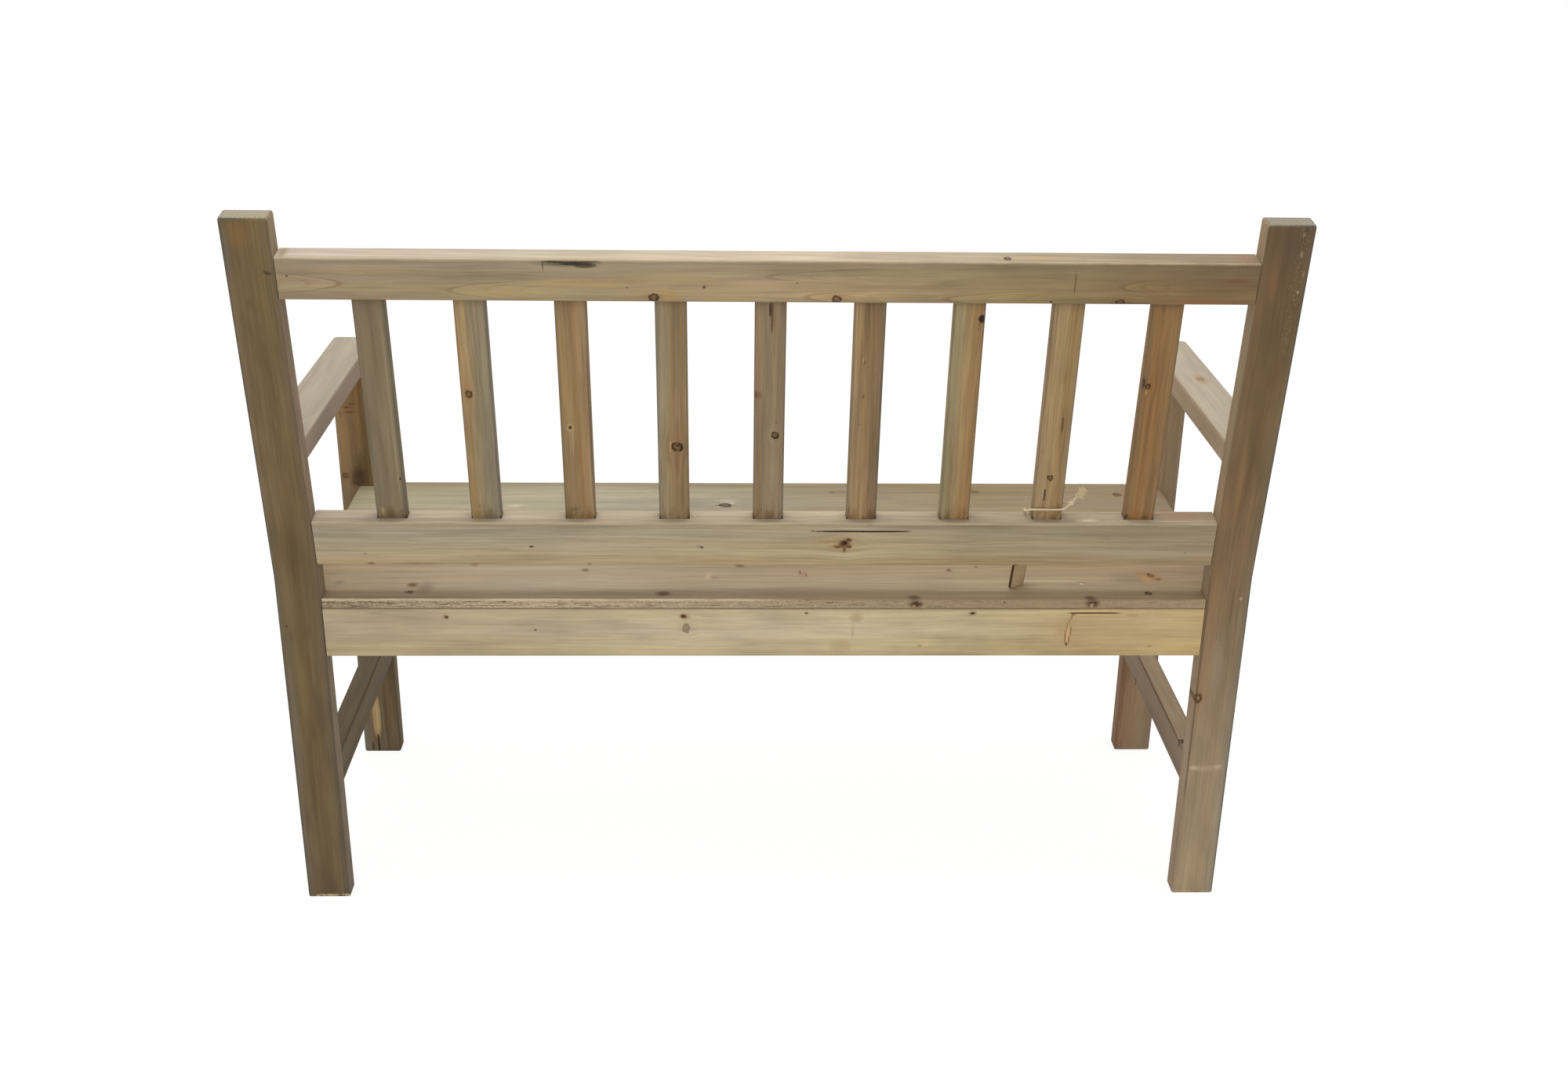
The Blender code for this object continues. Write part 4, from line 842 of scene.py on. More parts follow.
def finish_the_seat():
    """The bearer under the seat, then its boards: on a board, along is towards the sitter's left
    and across is backwards from its middle, so that marks on its edge are on the rear one."""
    timber("seat_bearer", "yzx", seed=13, **UNDER_THE_SEAT)
    timber("seat_board_1", "xyz", seed=14, heart=(15, -70), ring=5.8, streak=0.8, cool=0.3,
           warm=0.3, gain=0.91,
           tones=((164, 146, 116), (168, 149, 117), (165, 149, 119), (160, 140, 108)),
           run=((0.87, 0.79, 0.77), (0.98, 0.96, 0.97), (0.9, 0.88, 0.93), (1.05, 1.09, 1.26),
                (0.91, 0.86, 0.88)), arris=(146, 124, 96), worn=0.25, rings=0.6,
           sawn=((162, 139, 110), (153, 131, 102), (161, 142, 116), (178, 160, 131),
                 (128, 114, 94)), lit=(1.0, (208, 190, 160), -0.06, 0.05),
           knots=((-477, 46.3, 4.6, 4.2, 0.95, 0.4, 0.2),),
           marks=((-47, -12, 7, 13, (144, 112, 88), 0.5, 1.0),
                  (-43.5, -17, 1.7, 7, (104, 72, 50), 0.75, 0.6),
                  (-51, -9, 1.7, 6, (114, 82, 58), 0.7, 0.6),
                  (-350, 9, 56, 2.4, (200, 186, 166), 0.4, 1.0),
                  (-420, 17, 60, 6, (148, 132, 116), 0.4, 1.0),
                  (441, 43.6, 7, 5.6, (84, 56, 38), 0.9, 0.9),
                  (441, 22.4, 7.8, 7.4, (96, 64, 42), 0.9, 0.9),
                  (424, 32, 12, 20, (118, 96, 80), 0.55, 1.0),
                  (533, 17, 9, 8, (116, 108, 84), 0.5, 1.0),
                  (128, 48, 11, 8, (88, 62, 46), 0.85, 0.9),
                  (230, -23.7, 5.4, 5.6, (98, 74, 52), 0.75, 0.9),
                  (73, -3, 4, 8, (190, 166, 132), 0.55, 0.8),
                  (66, 0, 8, 6, (126, 108, 90), 0.45, 1.0),
                  (33, -37, 6.5, 4, (86, 62, 44), 0.8, 0.9),
                  (373, -37.6, 4.4, 3.4, (112, 88, 62), 0.6, 0.9),
                  (-182, 59, 9, 7, (84, 60, 44), 0.8, 0.9),
                  (-401, 60, 8, 6.5, (84, 58, 42), 0.8, 0.9),
                  (-488, -4, 16, 17, (154, 118, 78), 0.55, 1.0),
                  (-484, 3, 6, 9, (172, 132, 84), 0.7, 0.8),
                  (-499, 3, 6, 5, (122, 84, 50), 0.85, 0.8),
                  (-492, -8, 6, 8, (112, 76, 46), 0.85, 0.7),
                  (-490, -13, 2.2, 3, (60, 38, 24), 0.85, 0.6),
                  (-480, -14, 8, 4, (146, 106, 66), 0.7, 0.8),
                  (-460, 2, 24, 18, (122, 104, 84), 0.4, 1.0),
                  (-398, 13.6, 6, 2.6, (108, 90, 74), 0.6, 0.8),
                  (-398, 18, 2.6, 2.6, (206, 184, 152), 0.7, 0.6),
                  (-235, -24, 4.4, 5.4, (98, 72, 48), 0.75, 0.8),
                  (-271.5, -34.5, 3, 3, (92, 70, 52), 0.75, 0.7),
                  (-184, 0, 9, 5.4, (66, 40, 26), 0.92, 0.8, "edge"),
                  (-182, -2.6, 2.4, 2.2, (166, 138, 104), 0.75, 0.6, "edge"),
                  (-404, 1, 9, 6.4, (74, 44, 28), 0.92, 0.8, "edge"),
                  (-403, -1.6, 2.6, 3.2, (176, 148, 112), 0.8, 0.6, "edge"),
                  (323, 3, 2.6, 2, (70, 48, 34), 0.75, 0.7, "edge"),
                  (-294, 2.6, 2, 1.6, (84, 58, 40), 0.75, 0.7, "edge")))
    timber("seat_board_2", "xyz", seed=15, heart=(-20, -70), ring=5.8, streak=1.0, cool=0.35,
           tones=((173, 158, 133), (163, 148, 122), (158, 146, 120), (166, 150, 122)), blotch=1.3,
           run=((0.8, 0.78, 0.81), (0.98, 0.97, 0.95), (1.07, 1.08, 1.06),
                (1.04, 1.08, 1.13), (1.05, 1.06, 1.08)), rings=0.6, worn=0.45,
           arris=(120, 100, 76), gain=1.03,
           knots=((-280, 8, 5, 6, 0.6, 0.3, 0.4), (212, -22, 4, 5, 0.5, 0.3, 0.4)))
    timber("seat_board_3", "xyz", seed=16, heart=(15, -66), ring=5.8, streak=0.8, cool=0.35,
           gain=0.91, rings=0.6,
           tones=((149, 135, 104), (163, 150, 122), (165, 152, 126), (159, 145, 116)),
           run=((0.88, 0.81, 0.82), (0.8, 0.74, 0.65), (0.9, 0.93, 1.02), (1.08, 1.15, 1.26),
                (1.06, 1.14, 1.17)), worn=0.45, arris=(120, 100, 76),
           knots=((53, 24, 8, 7, 0.9, 0.0, 0.1), (-507, -20, 6, 6, 0.65, 0.4, 0.4),
                  (-304, -29, 6, 5, 0.3, 0.4, 0.5)),
           marks=((60, 30, 5, 1.6, (206, 194, 170), 0.6, 0.8),
                  (43, 15, 4, 3, (206, 194, 170), 0.6, 0.8),
                  (62, 12, 1.6, 2.2, (92, 78, 62), 0.7, 0.7),
                  (61, 2, 1.4, 1.8, (102, 88, 72), 0.6, 0.7),
                  (52, 8, 14, 9, (186, 174, 152), 0.4, 1.0),
                  (342, 27, 14, 6, (200, 188, 164), 0.6, 0.9),
                  (334, 30, 6, 1.4, (120, 104, 84), 0.6, 0.8),
                  (-108, -30, 14, 2.4, (122, 82, 52), 0.7, 0.9),
                  (-99, -26, 4, 3, (92, 60, 40), 0.7, 0.8),
                  (-170, -6, 16, 16, (134, 120, 104), 0.5, 1.0),
                  (-450, 4, 60, 22, (146, 124, 104), 0.5, 1.0),
                  (450, -49, 110, 4, (146, 112, 78), 0.5, 1.0),
                  (-40, -48, 200, 3, (132, 104, 76), 0.4, 1.0)))


def finish_the_slats():
    """Slats from the sitter's left to the right: along is from the knee, and across is towards
    the sitter's left."""
    looks = (
        dict(tones=((117, 105, 82), (126, 111, 88), (120, 105, 83), (119, 105, 83),
                    (123, 109, 85)), warm=0.25, cool=0.6, streak=0.8,
             marks=((222, -12.5, 140, 1.7, (148, 136, 104), 0.45, 0.9),
                    (133.3, -14.9, 2.0, 1.1, (36, 28, 26), 0.95, 0.5),
                    (88, 10, 8, 2.6, (164, 146, 96), 0.6, 1.0),
                    (83, 4, 6, 12, (104, 84, 54), 0.5, 1.0))),
        dict(tones=((132, 119, 100), (135, 123, 99), (141, 125, 97), (151, 128, 92),
                    (149, 124, 90)),
             knots=((244.9, 8.8, 4.6, 3.9, 0.8, 0.25, 0.75),),
             marks=((300, 17, 46, 2.4, (150, 96, 54), 0.6, 1.0),
                    (96.4, 6.7, 1.8, 1.5, (120, 92, 58), 0.6, 0.8),
                    (86, 11, 7, 5, (142, 112, 62), 0.5, 1.0),
                    (86, -6, 9, 4, (104, 94, 72), 0.6, 0.9))),
        dict(tones=((148, 122, 90), (144, 117, 84), (136, 110, 77), (137, 114, 81),
                    (133, 109, 76)),
             marks=((201.8, 6.7, 5.4, 4.6, (178, 154, 114), 0.75, 0.7),
                    (201.8, 6.7, 3.2, 3.0, (76, 58, 38), 0.98, 0.6),
                    (92, 8, 2.4, 6, (92, 72, 50), 0.55, 0.9),
                    (185, 4.4, 22, 1.0, (168, 142, 104), 0.55, 0.9),
                    (180, -3.5, 70, 2.2, (128, 92, 58), 0.45, 1.0),
                    (220, -16.4, 90, 1.0, (92, 72, 54), 0.5, 0.8))),
        dict(tones=((138, 115, 81), (139, 116, 84), (137, 116, 84), (145, 128, 99),
                    (134, 124, 104)),
             knots=((177.3, -4.9, 5.8, 6.4, 1.0, 0.15, 0.5),),
             marks=((158, -4.9, 24, 2.6, (122, 86, 56), 0.75, 1.0),
                    (195, -5.2, 22, 1.9, (124, 90, 60), 0.6, 1.0),
                    (179, -6.0, 2.2, 2.6, (48, 34, 22), 0.85, 0.7),
                    (178, -10, 3.4, 1.2, (44, 32, 22), 0.8, 0.6),
                    (178, 2.8, 9, 1.0, (176, 156, 120), 0.5, 0.8))),
        dict(tones=((130, 111, 88), (135, 117, 90), (132, 114, 89), (131, 111, 85),
                    (131, 108, 80)), cool=0.6,
             knots=((192.7, -6.8, 4.4, 4.2, 1.0, 0.05, 0.2),),
             marks=((245.3, 13.5, 6, 5.4, (112, 80, 56), 0.7, 0.9),
                    (246, 16.6, 5, 2, (80, 58, 42), 0.7, 0.8),
                    (209.7, -8.4, 2.4, 2.1, (116, 92, 64), 0.7, 0.7),
                    (343, -1.6, 22, 1.5, (96, 64, 40), 0.85, 0.8),
                    (352, 0.6, 9, 1.3, (44, 32, 22), 0.9, 0.7),
                    (322, -5, 34, 1.2, (136, 100, 66), 0.6, 1.0))),
        dict(tones=((121, 102, 77), (133, 109, 79), (134, 111, 81), (139, 115, 83),
                    (141, 119, 89)), streak=1.5,
             marks=((244, 4, 3, 1.2, (108, 80, 56), 0.7, 0.7),
                    (287.7, 4, 3.4, 1.8, (104, 78, 54), 0.65, 0.8),
                    (290, 5.6, 3, 0.7, (176, 148, 106), 0.6, 0.7),
                    (207, 7, 2.4, 1.6, (112, 92, 64), 0.5, 0.9),
                    (90, 15, 10, 2, (88, 74, 56), 0.55, 1.0))),
        dict(tones=((143, 113, 77), (149, 119, 80), (145, 121, 86), (140, 125, 93),
                    (143, 128, 95)), cool=0.6,
             marks=((342, -14.0, 5.6, 4.2, (40, 30, 24), 1.0, 0.5),
                    (333, -11, 6, 1.4, (120, 86, 56), 0.6, 0.9),
                    (90, -5, 26, 3, (150, 106, 62), 0.45, 1.0))),
        dict(tones=((147, 124, 90), (138, 112, 77), (151, 126, 90), (152, 129, 95),
                    (147, 124, 92)), streak=1.2,
             knots=((136.4, 0.8, 3.6, 3.4, 0.85, 0.3, 0.5),),
             marks=((113, 5.6, 9, 1.2, (58, 40, 26), 0.95, 0.6),
                    (100, 6.2, 12, 2.4, (116, 88, 58), 0.5, 1.0),
                    (96, -13, 7, 2.6, (104, 78, 50), 0.6, 1.0),
                    (208, -7, 11, 1.2, (74, 48, 30), 0.85, 0.7),
                    (205, -5.6, 34, 2.2, (128, 92, 58), 0.4, 1.0),
                    (172, 13.6, 3, 1.6, (120, 98, 72), 0.5, 0.9),
                    (268, -3, 8, 2.2, (126, 94, 62), 0.45, 1.0))),
        dict(tones=((136, 106, 71), (138, 107, 71), (141, 108, 72), (137, 106, 69),
                    (133, 103, 68)), cool=0.15, warm=0.7,
             knots=((258, 11.4, 3.4, 3.0, 1.0, 0.2, 0.5),),
             marks=((263, 17.0, 7.5, 2.2, (38, 30, 22), 0.98, 0.6),
                    (251, 12.4, 4.5, 1.4, (176, 136, 86), 0.7, 0.8),
                    (87, 7, 7.5, 6.5, (150, 108, 62), 0.5, 0.9),
                    (84, 15.6, 3.4, 2.2, (44, 36, 28), 0.8, 0.7))))
    # painted shade in the gaps at both corners of each slat's foot
    gaps = ((80.5, 17.4, 2.6, 1.5, (34, 28, 24), 0.85, 0.6),
            (80.5, -17.4, 2.6, 1.5, (34, 28, 24), 0.85, 0.6))
    for number, look in enumerate(looks, 1):
        timber(f"back_slat_{number}", "zxy", leaned=True, seed=20 + number, rings=0.6,
               heart=(18 - 4 * number, -38), arris=(92, 88, 78), worn=0.4, grime=0.8,
               blotch=1.3, shaded=0.35,
               **{"streak": 1.15, **look, "marks": look["marks"] + gaps})


def finish_the_wood():
    """Every wooden piece gets its own cut of softwood."""
    finish_the_posts()
    finish_the_sides()
    finish_the_rails()
    finish_the_seat()
    finish_the_slats()


# Steel, card and twine

def zinc_finish():
    """Zinc-plated steel: fine scratches round a dull grey, a little duller in patches."""
    finish, base, shader = new_finish("zinc_plate")
    place = base.node("ShaderNodeTexCoord", out="Object")
    scratch = place.noise((2600, 2600, 2600), 3, 2.0)
    patch = place.noise((240, 240, 240), 4, 2.0)
    shader.inputs["Metallic"].default_value = 1.0
    tone = (scratch * 0.5 + patch * 0.5).ease(0.3, 0.7).paint_over(
        card(168, 168, 166), card(206, 205, 202))
    normal = base.node("ShaderNodeBump", {"Strength": 0.2, "Distance": 0.0001,
                                          "Height": scratch})
    connect(shader, Base_Color=tone, Roughness=0.30 + patch * 0.2, Normal=normal)
    return finish


TAG_TURN = math.radians(-139)
TAG_TILT = math.radians(-6)
TAG_WIDTH = 0.025
TAG_THICKNESS = 0.0034
TAG_HOLE_DROP = 0.007                     # below the tag's top edge
TAG_SHARE = 0.64                          # of the drop from the lower rail's top to the seat
TAG_HEIGHT = TAG_SHARE * (KNEE + RAIL_TOP * math.cos(RAKE) - SEAT_TOP)
TAG_PLACE = Matrix.Translation((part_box("swing_tag")[0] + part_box("swing_tag")[1]) / 2) \
    @ Matrix.Rotation(TAG_TILT, 4, "Y") @ Matrix.Rotation(TAG_TURN, 4, "Z")


def tag_finish():
    """Pressed brown card: flecked faces, and dark cut edges that show its layers."""
    finish, base, shader = new_finish("tag_card")
    coordinate = base.node("ShaderNodeTexCoord", out="Object")
    local = base.node("ShaderNodeMapping", {
        "Vector": coordinate, "Location": TAG_PLACE.translation,
        "Rotation": TAG_PLACE.to_3x3().to_euler()}, vector_type="TEXTURE")
    side, depth = (local.node("ShaderNodeSeparateXYZ", {0: local}, out=index)
                   for index in (0, 1))
    fleck = local.noise((700, 700, 700), 5, 3.0, 0.7)
    cloud = local.noise((60, 60, 60), 6, 2.0)
    layer = local.noise((40, 2600, 40), 7, 1.0)
    front = abs(depth).ease(TAG_THICKNESS / 2 - 0.00015, TAG_THICKNESS / 2 - 0.00001)
    face = front * abs(side).ease(TAG_WIDTH / 2 - 0.0003, TAG_WIDTH / 2 - 0.0012)
    tone = fleck.ease(0.3, 0.75).paint_over(card(164, 140, 106), card(192, 168, 130))
    tone = (cloud.ease(0.4, 0.7) * 0.4).paint_over(tone, card(158, 130, 96))
    edge = layer.ease(0.35, 0.65).paint_over(card(58, 30, 18), card(84, 50, 32))
    colour = face.paint_over(edge, tone)
    normal = base.node("ShaderNodeBump", {"Strength": 0.4, "Distance": 0.0003,
                                          "Height": fleck + layer * 0.5})
    connect(shader, Base_Color=colour, Roughness=0.7 + fleck * 0.2, Normal=normal)
    return finish


SPAN_STATIONS = 16                        # from one point of a curve to the next


def flow(points, count):
    """Even stations, by arc length, on a centripetal Catmull-Rom curve: between two points the
    curve is a blend of blends of straight runs, each by the root of its run's length."""
    points = np.asarray(points, float)
    padded = np.vstack((2 * points[0] - points[1], points, 2 * points[-1] - points[-2]))[:, None]
    a, b, c, d = padded[:-3], padded[1:-2], padded[2:-1], padded[3:]
    root = np.linalg.norm(np.diff(padded, axis=0), axis=2, keepdims=True) ** 0.5
    t1 = root[:-2]
    t2 = t1 + root[1:-1]
    t3 = t2 + root[2:]
    t = t1 + (t2 - t1) * np.linspace(0, 1, SPAN_STATIONS, endpoint=False)[None, :, None]
    ab = a + (b - a) * t / t1
    bc = b + (c - b) * (t - t1) / (t2 - t1)
    cd = c + (d - c) * (t - t2) / (t3 - t2)
    abc = ab + (bc - ab) * t / t2
    bcd = bc + (cd - bc) * (t - t1) / (t3 - t1)
    curve = (abc + (bcd - abc) * (t - t1) / (t2 - t1)).reshape(-1, 3)
    curve = np.vstack((curve, points[-1:]))
    steps = np.linalg.norm(np.diff(curve, axis=0), axis=1)
    length = np.concatenate(([0], np.cumsum(steps)))
    even = np.linspace(0, length[-1], count)
    return np.stack([np.interp(even, length, curve[:, axis]) for axis in range(3)], 1), even


def frames(path):
    """Sideways and upward unit vectors carried along a path without twisting."""
    ahead = np.gradient(path, axis=0)
    ahead /= np.linalg.norm(ahead, axis=1)[:, None]
    side = np.empty_like(path)
    start = np.cross(ahead[0], (0.3, 0.2, 1.0))
    side[0] = start / np.linalg.norm(start)
    for index in range(1, len(path)):
        turned = side[index - 1] - ahead[index] * (side[index - 1] @ ahead[index])
        side[index] = turned / np.linalg.norm(turned)
    return side, np.cross(ahead, side), ahead


def tube(path, radius, sides):
    """A closed round tube: each ring is the path's point plus its radius times the cosine of
    the turn sideways and its sine upwards, and a fan closes each end."""
    side, up, _ = frames(path)
    turn = np.linspace(0, 2 * np.pi, sides, endpoint=False)
    radius = np.broadcast_to(radius, len(path))[:, None, None]
    rings = (path[:, None] + radius * (np.cos(turn)[None, :, None] * side[:, None]
                                       + np.sin(turn)[None, :, None] * up[:, None]))
    count = len(path)
    points = np.vstack((rings.reshape(-1, 3), path[:1], path[-1:]))
    i, j = np.meshgrid(np.arange(count - 1), np.arange(sides), indexing="ij")
    k = (j + 1) % sides
    walls = np.stack((i * sides + j, i * sides + k, (i + 1) * sides + k,
                      (i + 1) * sides + j), -1).reshape(-1, 4)
    j = np.arange(sides)
    k = (j + 1) % sides
    end = np.full(sides, count * sides)
    base = (count - 1) * sides
    caps = np.vstack((np.stack((k, j, end), 1), np.stack((base + j, base + k, end + 1), 1)))
    return points, walls, caps


def join(tubes):
    """Several tubes as one list of points and faces."""
    points, faces, start = [], [], 0
    for spots, walls, caps in tubes:
        points.append(spots)
        faces += (walls + start).tolist() + (caps + start).tolist()
        start += len(spots)
    return np.vstack(points), faces


RAIL_THICKNESS = 0.031
SLAT_WIDTH = 0.036
SLAT_THICKNESS = 0.016
SLAT_INSET = 0.010                        # from the rear face of the rails to the slat's
TWINE_RADIUS = 0.0012
TWINE_OFF = TWINE_RADIUS + 0.0006         # its middle from the face of the slat
TWINE_HIGH = RAIL_TOP + 0.0150
TWINE_LAY = 0.0062                        # length of one turn of its strands
TWINE_STATIONS = 520
STRAND_RADIUS = 0.00070
STRAND_OFF = 0.00062                      # from the middle of the twine
STRAND_SLACK = 0.0009                     # how much farther off at the frayed end
SLACK_REACH = 0.016                       # along the twine, until most of that is gone
KNOT_SIZE = 0.00115
KNOT_RADIUS = 0.00085
TUFT_FIBRES = 230
TUFT_ROOTS = 0.011                        # the last stretch, from which the tuft comes
TUFT_RADII = (0.00048, 0.00022)           # at a fibre's root and tip
LOOSE_FIBRES = 170
LOOSE_RADII = (0.00012, 0.00005)
SLAT_MIDDLE = (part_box("back_slat_8")[0].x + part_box("back_slat_8")[1].x) / 2
SLAT_LEFT = SLAT_MIDDLE + SLAT_WIDTH / 2 + TWINE_OFF
SLAT_RIGHT = SLAT_MIDDLE - SLAT_WIDTH / 2 - TWINE_OFF
SLAT_REAR = TWINE_OFF - SLAT_INSET
SLAT_FRONT = -SLAT_INSET - SLAT_THICKNESS - TWINE_OFF
KNOT = Vector((SLAT_RIGHT - 0.0075, SLAT_REAR, TWINE_HIGH + 0.0095))
TUFT_CURL = np.array((-0.0014, 0.0, -0.0010))  # how far the frayed tips bend over


def twine_route():
    """Points of the twine, from the frayed end round the slat, down through the tag's hole and
    back to the knot: the CAD twine's, but nearer and lower where it turns beside the slat."""
    brink = -RAIL_THICKNESS - 2 * TWINE_RADIUS
    eye = TAG_PLACE @ Matrix.Translation((0, 0, TAG_HEIGHT / 2 - TAG_HOLE_DROP))
    loop = TAG_THICKNESS / 2 + 2 * TWINE_RADIUS
    left, right, rear, front, high = SLAT_LEFT, SLAT_RIGHT, SLAT_REAR, SLAT_FRONT, TWINE_HIGH
    round_the_rear = [
        KNOT + Vector((-0.010, 0.003, 0.019)), KNOT + Vector((-0.005, 0.001, 0.0080)), KNOT,
        (right, rear, high + 0.0015), (right + 0.005, rear, high), (SLAT_MIDDLE, rear, high),
        (left - 0.003, rear, high), (left + 0.0026, rear - 0.003, high - 0.002),
        (left + 0.0046, rear - 0.009, high - 0.007),
        (left + 0.0042, rear - 0.016, high - 0.0105), (left + 0.0036, brink, RAIL_TOP),
        (left + 0.002, brink - 0.001, RAIL_TOP - 0.014)]
    through_the_tag = [(0, loop, 0.010), (0, loop, 0.001), (0, 0, -0.0002),
                       (0, -loop, 0.001), (0, -loop, 0.010)]
    round_the_front = [
        (left - 0.006, brink - 0.004, RAIL_TOP - 0.012),
        (left - 0.004, brink - 0.002, RAIL_TOP + 0.002),
        (left - 0.007, front, high - 0.001), (SLAT_MIDDLE, front, high),
        (right + 0.004, front, high), (right - 0.001, front + 0.003, high + 0.001),
        (right - 0.003, (rear + front) / 2, high + 0.004),
        KNOT - Vector((-0.0005, 2 * TWINE_RADIUS + 0.0004, 0.0005))]
    return ([BACK @ Vector(point) for point in round_the_rear]
            + [eye @ Vector(point) for point in through_the_tag]
            + [BACK @ Vector(point) for point in round_the_front])


def twine_finish():
    """Pale bast fibre: lighter and darker threads, and warmer patches."""
    finish, base, shader = new_finish("bast_twine")
    place = base.node("ShaderNodeTexCoord", out="Object")
    thread = place.noise((2400, 2400, 2400), 8, 2.0, 0.7)
    patch = place.noise((260, 260, 260), 9, 2.0)
    tone = thread.ease(0.3, 0.7).paint_over(card(186, 162, 124), card(236, 220, 190))
    tone = (patch.ease(0.45, 0.7) * 0.5).paint_over(tone, card(198, 168, 124))
    normal = base.node("ShaderNodeBump", {"Strength": 0.5, "Distance": 0.0002,
                                          "Height": thread})
    connect(shader, Base_Color=tone, Roughness=0.8 + thread * 0.1, Normal=normal)
    return finish


def lay_strands(path, run, side, up):
    """Two strands laid round each other: each runs round the path once per lay, half a turn
    from the other, and stands off it more towards the frayed end."""
    strands = []
    for start in (0.0, math.pi):
        turn = (run / TWINE_LAY * 2 * np.pi + start)[:, None]
        off = STRAND_OFF + STRAND_SLACK * np.exp(-(run / SLACK_REACH) ** 2)[:, None]
        strand = path + off * (np.cos(turn) * side + np.sin(turn) * up)
        strands.append(tube(strand, STRAND_RADIUS, 8))
    return strands


def tie_knot():
    """The half knot: a trefoil, whose three places are sums of the sine and cosine of one turn,
    of two and of three."""
    t = np.linspace(0, 2 * np.pi, 90, endpoint=False)
    loop = np.stack((np.sin(t) + 1.6 * np.sin(2 * t), np.cos(t) - 1.6 * np.cos(2 * t),
                     -1.1 * np.sin(3 * t)), 1)
    loop = np.vstack((loop, loop[:1]))
    loop = loop @ np.array(Matrix.Rotation(0.7, 3, "Y") @ Matrix.Rotation(0.5, 3, "X"))
    middle = BACK @ (KNOT - Vector((0, TWINE_RADIUS + 0.0002, 0)))
    return tube(np.array(middle) + loop * KNOT_SIZE, KNOT_RADIUS, 8)


def fray_end(random, tip, out):
    """Fibres of the frayed end: each leaves the twine near its tip, runs straight out, spreads
    by a power of the way along it and curls by its square."""
    fibres = []
    s = np.linspace(0, 1, 7)[:, None]
    for _ in range(TUFT_FIBRES):
        spread = random.normal(0, 1, 3)
        spread -= out * (spread @ out)
        reach = random.uniform(0.0012, 0.0045)
        bow = random.normal(0, 1, 3) * 0.0009 + TUFT_CURL
        root = tip - out * random.uniform(0.0, TUFT_ROOTS) + spread * 0.0006
        hair = root + out * reach * s + spread * 0.0015 * s ** 1.3 + bow * s ** 2
        fibres.append(tube(hair, np.linspace(*TUFT_RADII, 7), 4))
    return fibres


def loosen_fibres(random, path, side, up, ahead):
    """Short fibres that stand off the twine at a slant, forwards or backwards."""
    fibres = []
    s = np.linspace(0, 1, 5)[:, None]
    for _ in range(LOOSE_FIBRES):
        at = random.integers(4, len(path) - 4)
        angle = random.uniform(0, 2 * np.pi)
        outward = math.cos(angle) * side[at] + math.sin(angle) * up[at]
        lean = ahead[at] * random.choice((-1, 1)) * random.uniform(0.5, 1.2)
        reach = random.uniform(0.0006, 0.0022)
        hair = path[at] + outward * 0.0009 + (outward * 0.5 + lean) * reach * s \
            + random.normal(0, 0.0003, 3) * s ** 2
        fibres.append(tube(hair, np.linspace(*LOOSE_RADII, 5), 3))
    return fibres


def make_twine():
    """The twine in one piece, in place of its CAD solid."""
    path, run = flow(twine_route(), TWINE_STATIONS)
    side, up, ahead = frames(path)
    random = np.random.default_rng(7)
    tubes = lay_strands(path, run, side, up)
    tubes.append(tie_knot())
    tubes += fray_end(random, path[0], -ahead[0])
    tubes += loosen_fibres(random, path, side, up, ahead)
    points, faces = join(tubes)
    mesh = bpy.data.meshes.new("twine")
    mesh.from_pydata(points.tolist(), [], faces)
    mesh.polygons.foreach_set("use_smooth", [True] * len(mesh.polygons))
    mesh.materials.append(twine_finish())
    twine = bpy.data.objects.new("twine", mesh)
    bpy.context.scene.collection.objects.link(twine)
    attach(twine, "root")
    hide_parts("tie_twine")


# Studio

FLOOR_SIZE = 14
FLOOR_GREY = (0.86, 0.86, 0.86, 1)
FLOOR_GLOW = 1.07                         # white that only the camera sees on the floor
FLOOR_GLOW_SHARE = 0.86                   # the rest is the floor in its own light and shadow
SKY_COLOUR = (1.0, 0.99, 0.97, 1)
SKY_STRENGTH = 0.86
WHITE = (1, 1, 1, 1)


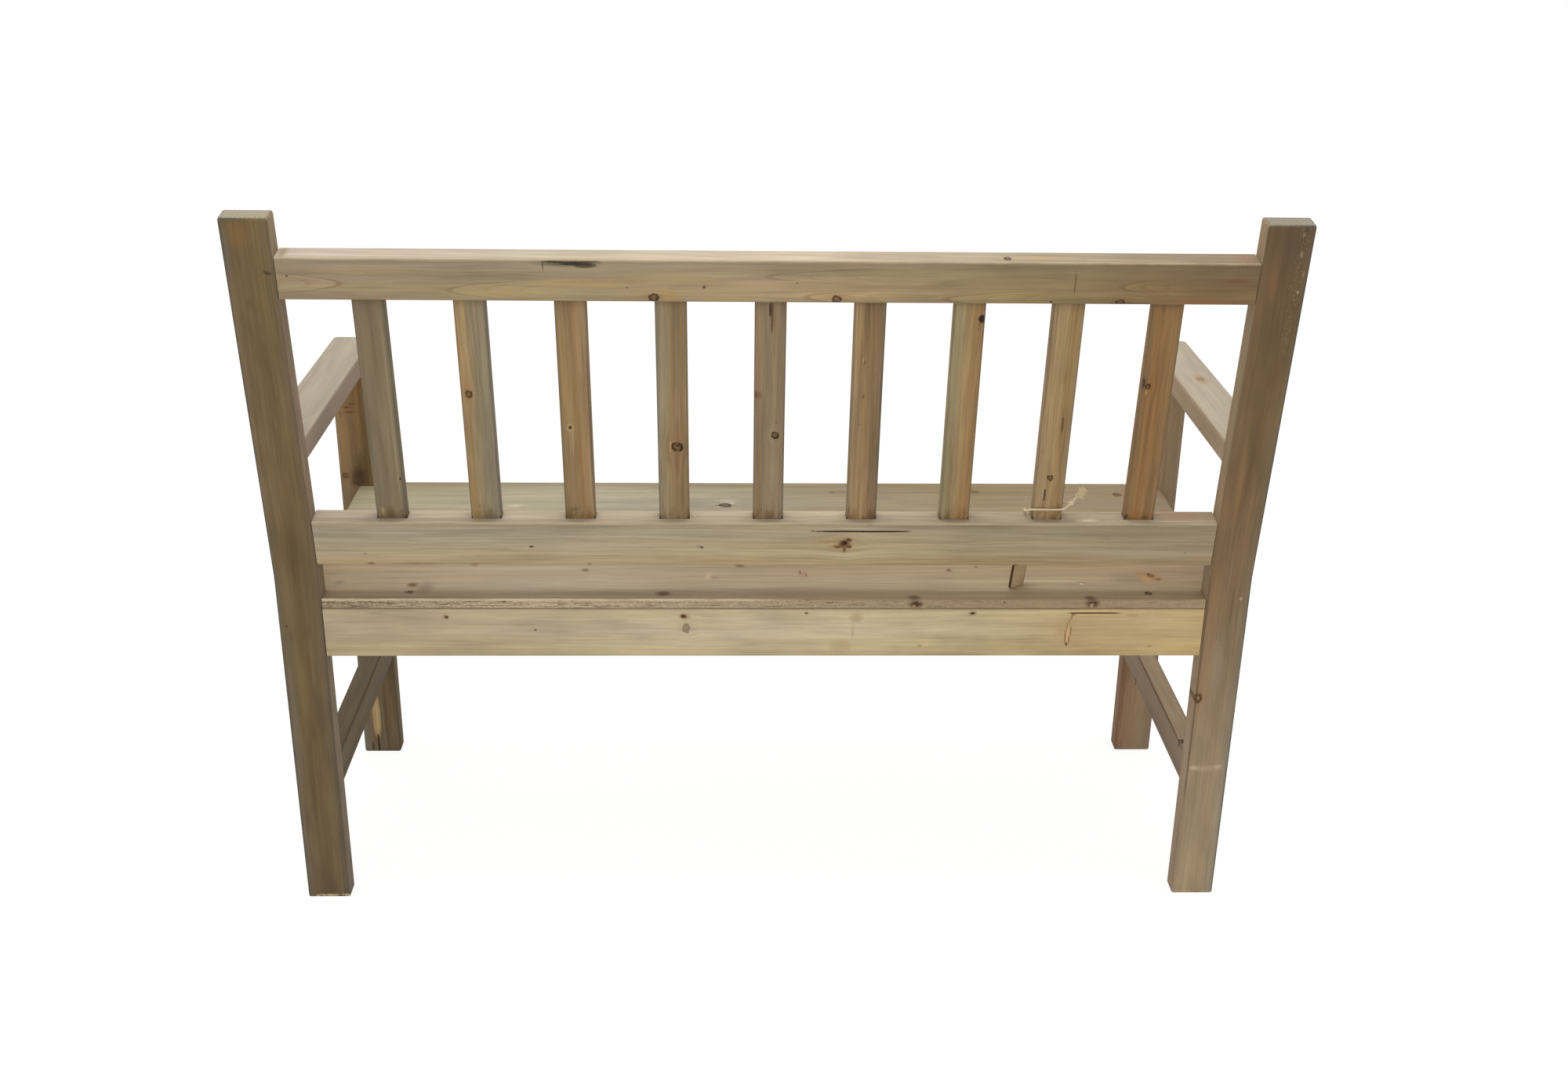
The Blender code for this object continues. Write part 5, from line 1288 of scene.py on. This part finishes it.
def make_floor():
    """A pale floor that the camera sees as nearly white, and that keeps a soft shadow."""
    mesh = bpy.data.meshes.new("floor")
    half = FLOOR_SIZE / 2
    mesh.from_pydata([(-half, -half, 0), (half, -half, 0), (half, half, 0), (-half, half, 0)],
                     [], [(0, 1, 2, 3)])
    floor = bpy.data.objects.new("floor", mesh)
    bpy.context.scene.collection.objects.link(floor)
    finish, base, shader = new_finish("floor_white")
    shader.inputs["Base Color"].default_value = FLOOR_GREY
    shader.inputs["Roughness"].default_value = 0.9
    shader.inputs["Specular IOR Level"].default_value = 0.0
    seen = base.node("ShaderNodeLightPath", out="Is Camera Ray")
    glow = base.node("ShaderNodeEmission", {"Color": WHITE, "Strength": FLOOR_GLOW})
    plain = Wire(finish.node_tree, shader.outputs[0])
    mixed = base.node("ShaderNodeMixShader", {0: seen * FLOOR_GLOW_SHARE, 1: plain, 2: glow})
    output = next(node for node in finish.node_tree.nodes if node.type == "OUTPUT_MATERIAL")
    finish.node_tree.links.new(mixed.socket, output.inputs[0])
    mesh.materials.append(finish)


def make_studio():
    """White surroundings as the camera and gloss see them, a soft sky and two soft lamps."""
    scene = bpy.context.scene
    scene.view_settings.view_transform = "Standard"
    make_floor()
    world = bpy.data.worlds.new("studio")
    scene.world = world
    world.use_nodes = True
    world.node_tree.nodes.clear()
    base = Wire(world.node_tree)
    path = world.node_tree.nodes.new("ShaderNodeLightPath")
    seen = [Wire(world.node_tree, path.outputs[name])
            for name in ("Is Camera Ray", "Is Glossy Ray", "Is Transmission Ray")]
    ambient = base.node("ShaderNodeBackground", {"Color": SKY_COLOUR,
                                                 "Strength": SKY_STRENGTH})
    white = base.node("ShaderNodeBackground", {"Color": WHITE, "Strength": 1.0})
    mixed = base.node("ShaderNodeMixShader", {0: largest(seen), 1: ambient, 2: white})
    output = world.node_tree.nodes.new("ShaderNodeOutputWorld")
    world.node_tree.links.new(mixed.socket, output.inputs[0])
    soft_light("overhead", place=(0.0, 0.2, 2.9), target=(0, 0, 0.4), width=1.5, height=0.7,
               power=28)
    soft_light("camera_side", place=(0.6, 3.0, 1.8), target=(0, 0.1, 0.5), width=2.4,
               height=1.6, power=18)


make_camera()
make_studio()
finish_the_wood()
zinc = zinc_finish()
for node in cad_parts:
    if "screw" in node:
        dress(node, zinc)
dress("swing_tag", tag_finish())
make_twine()
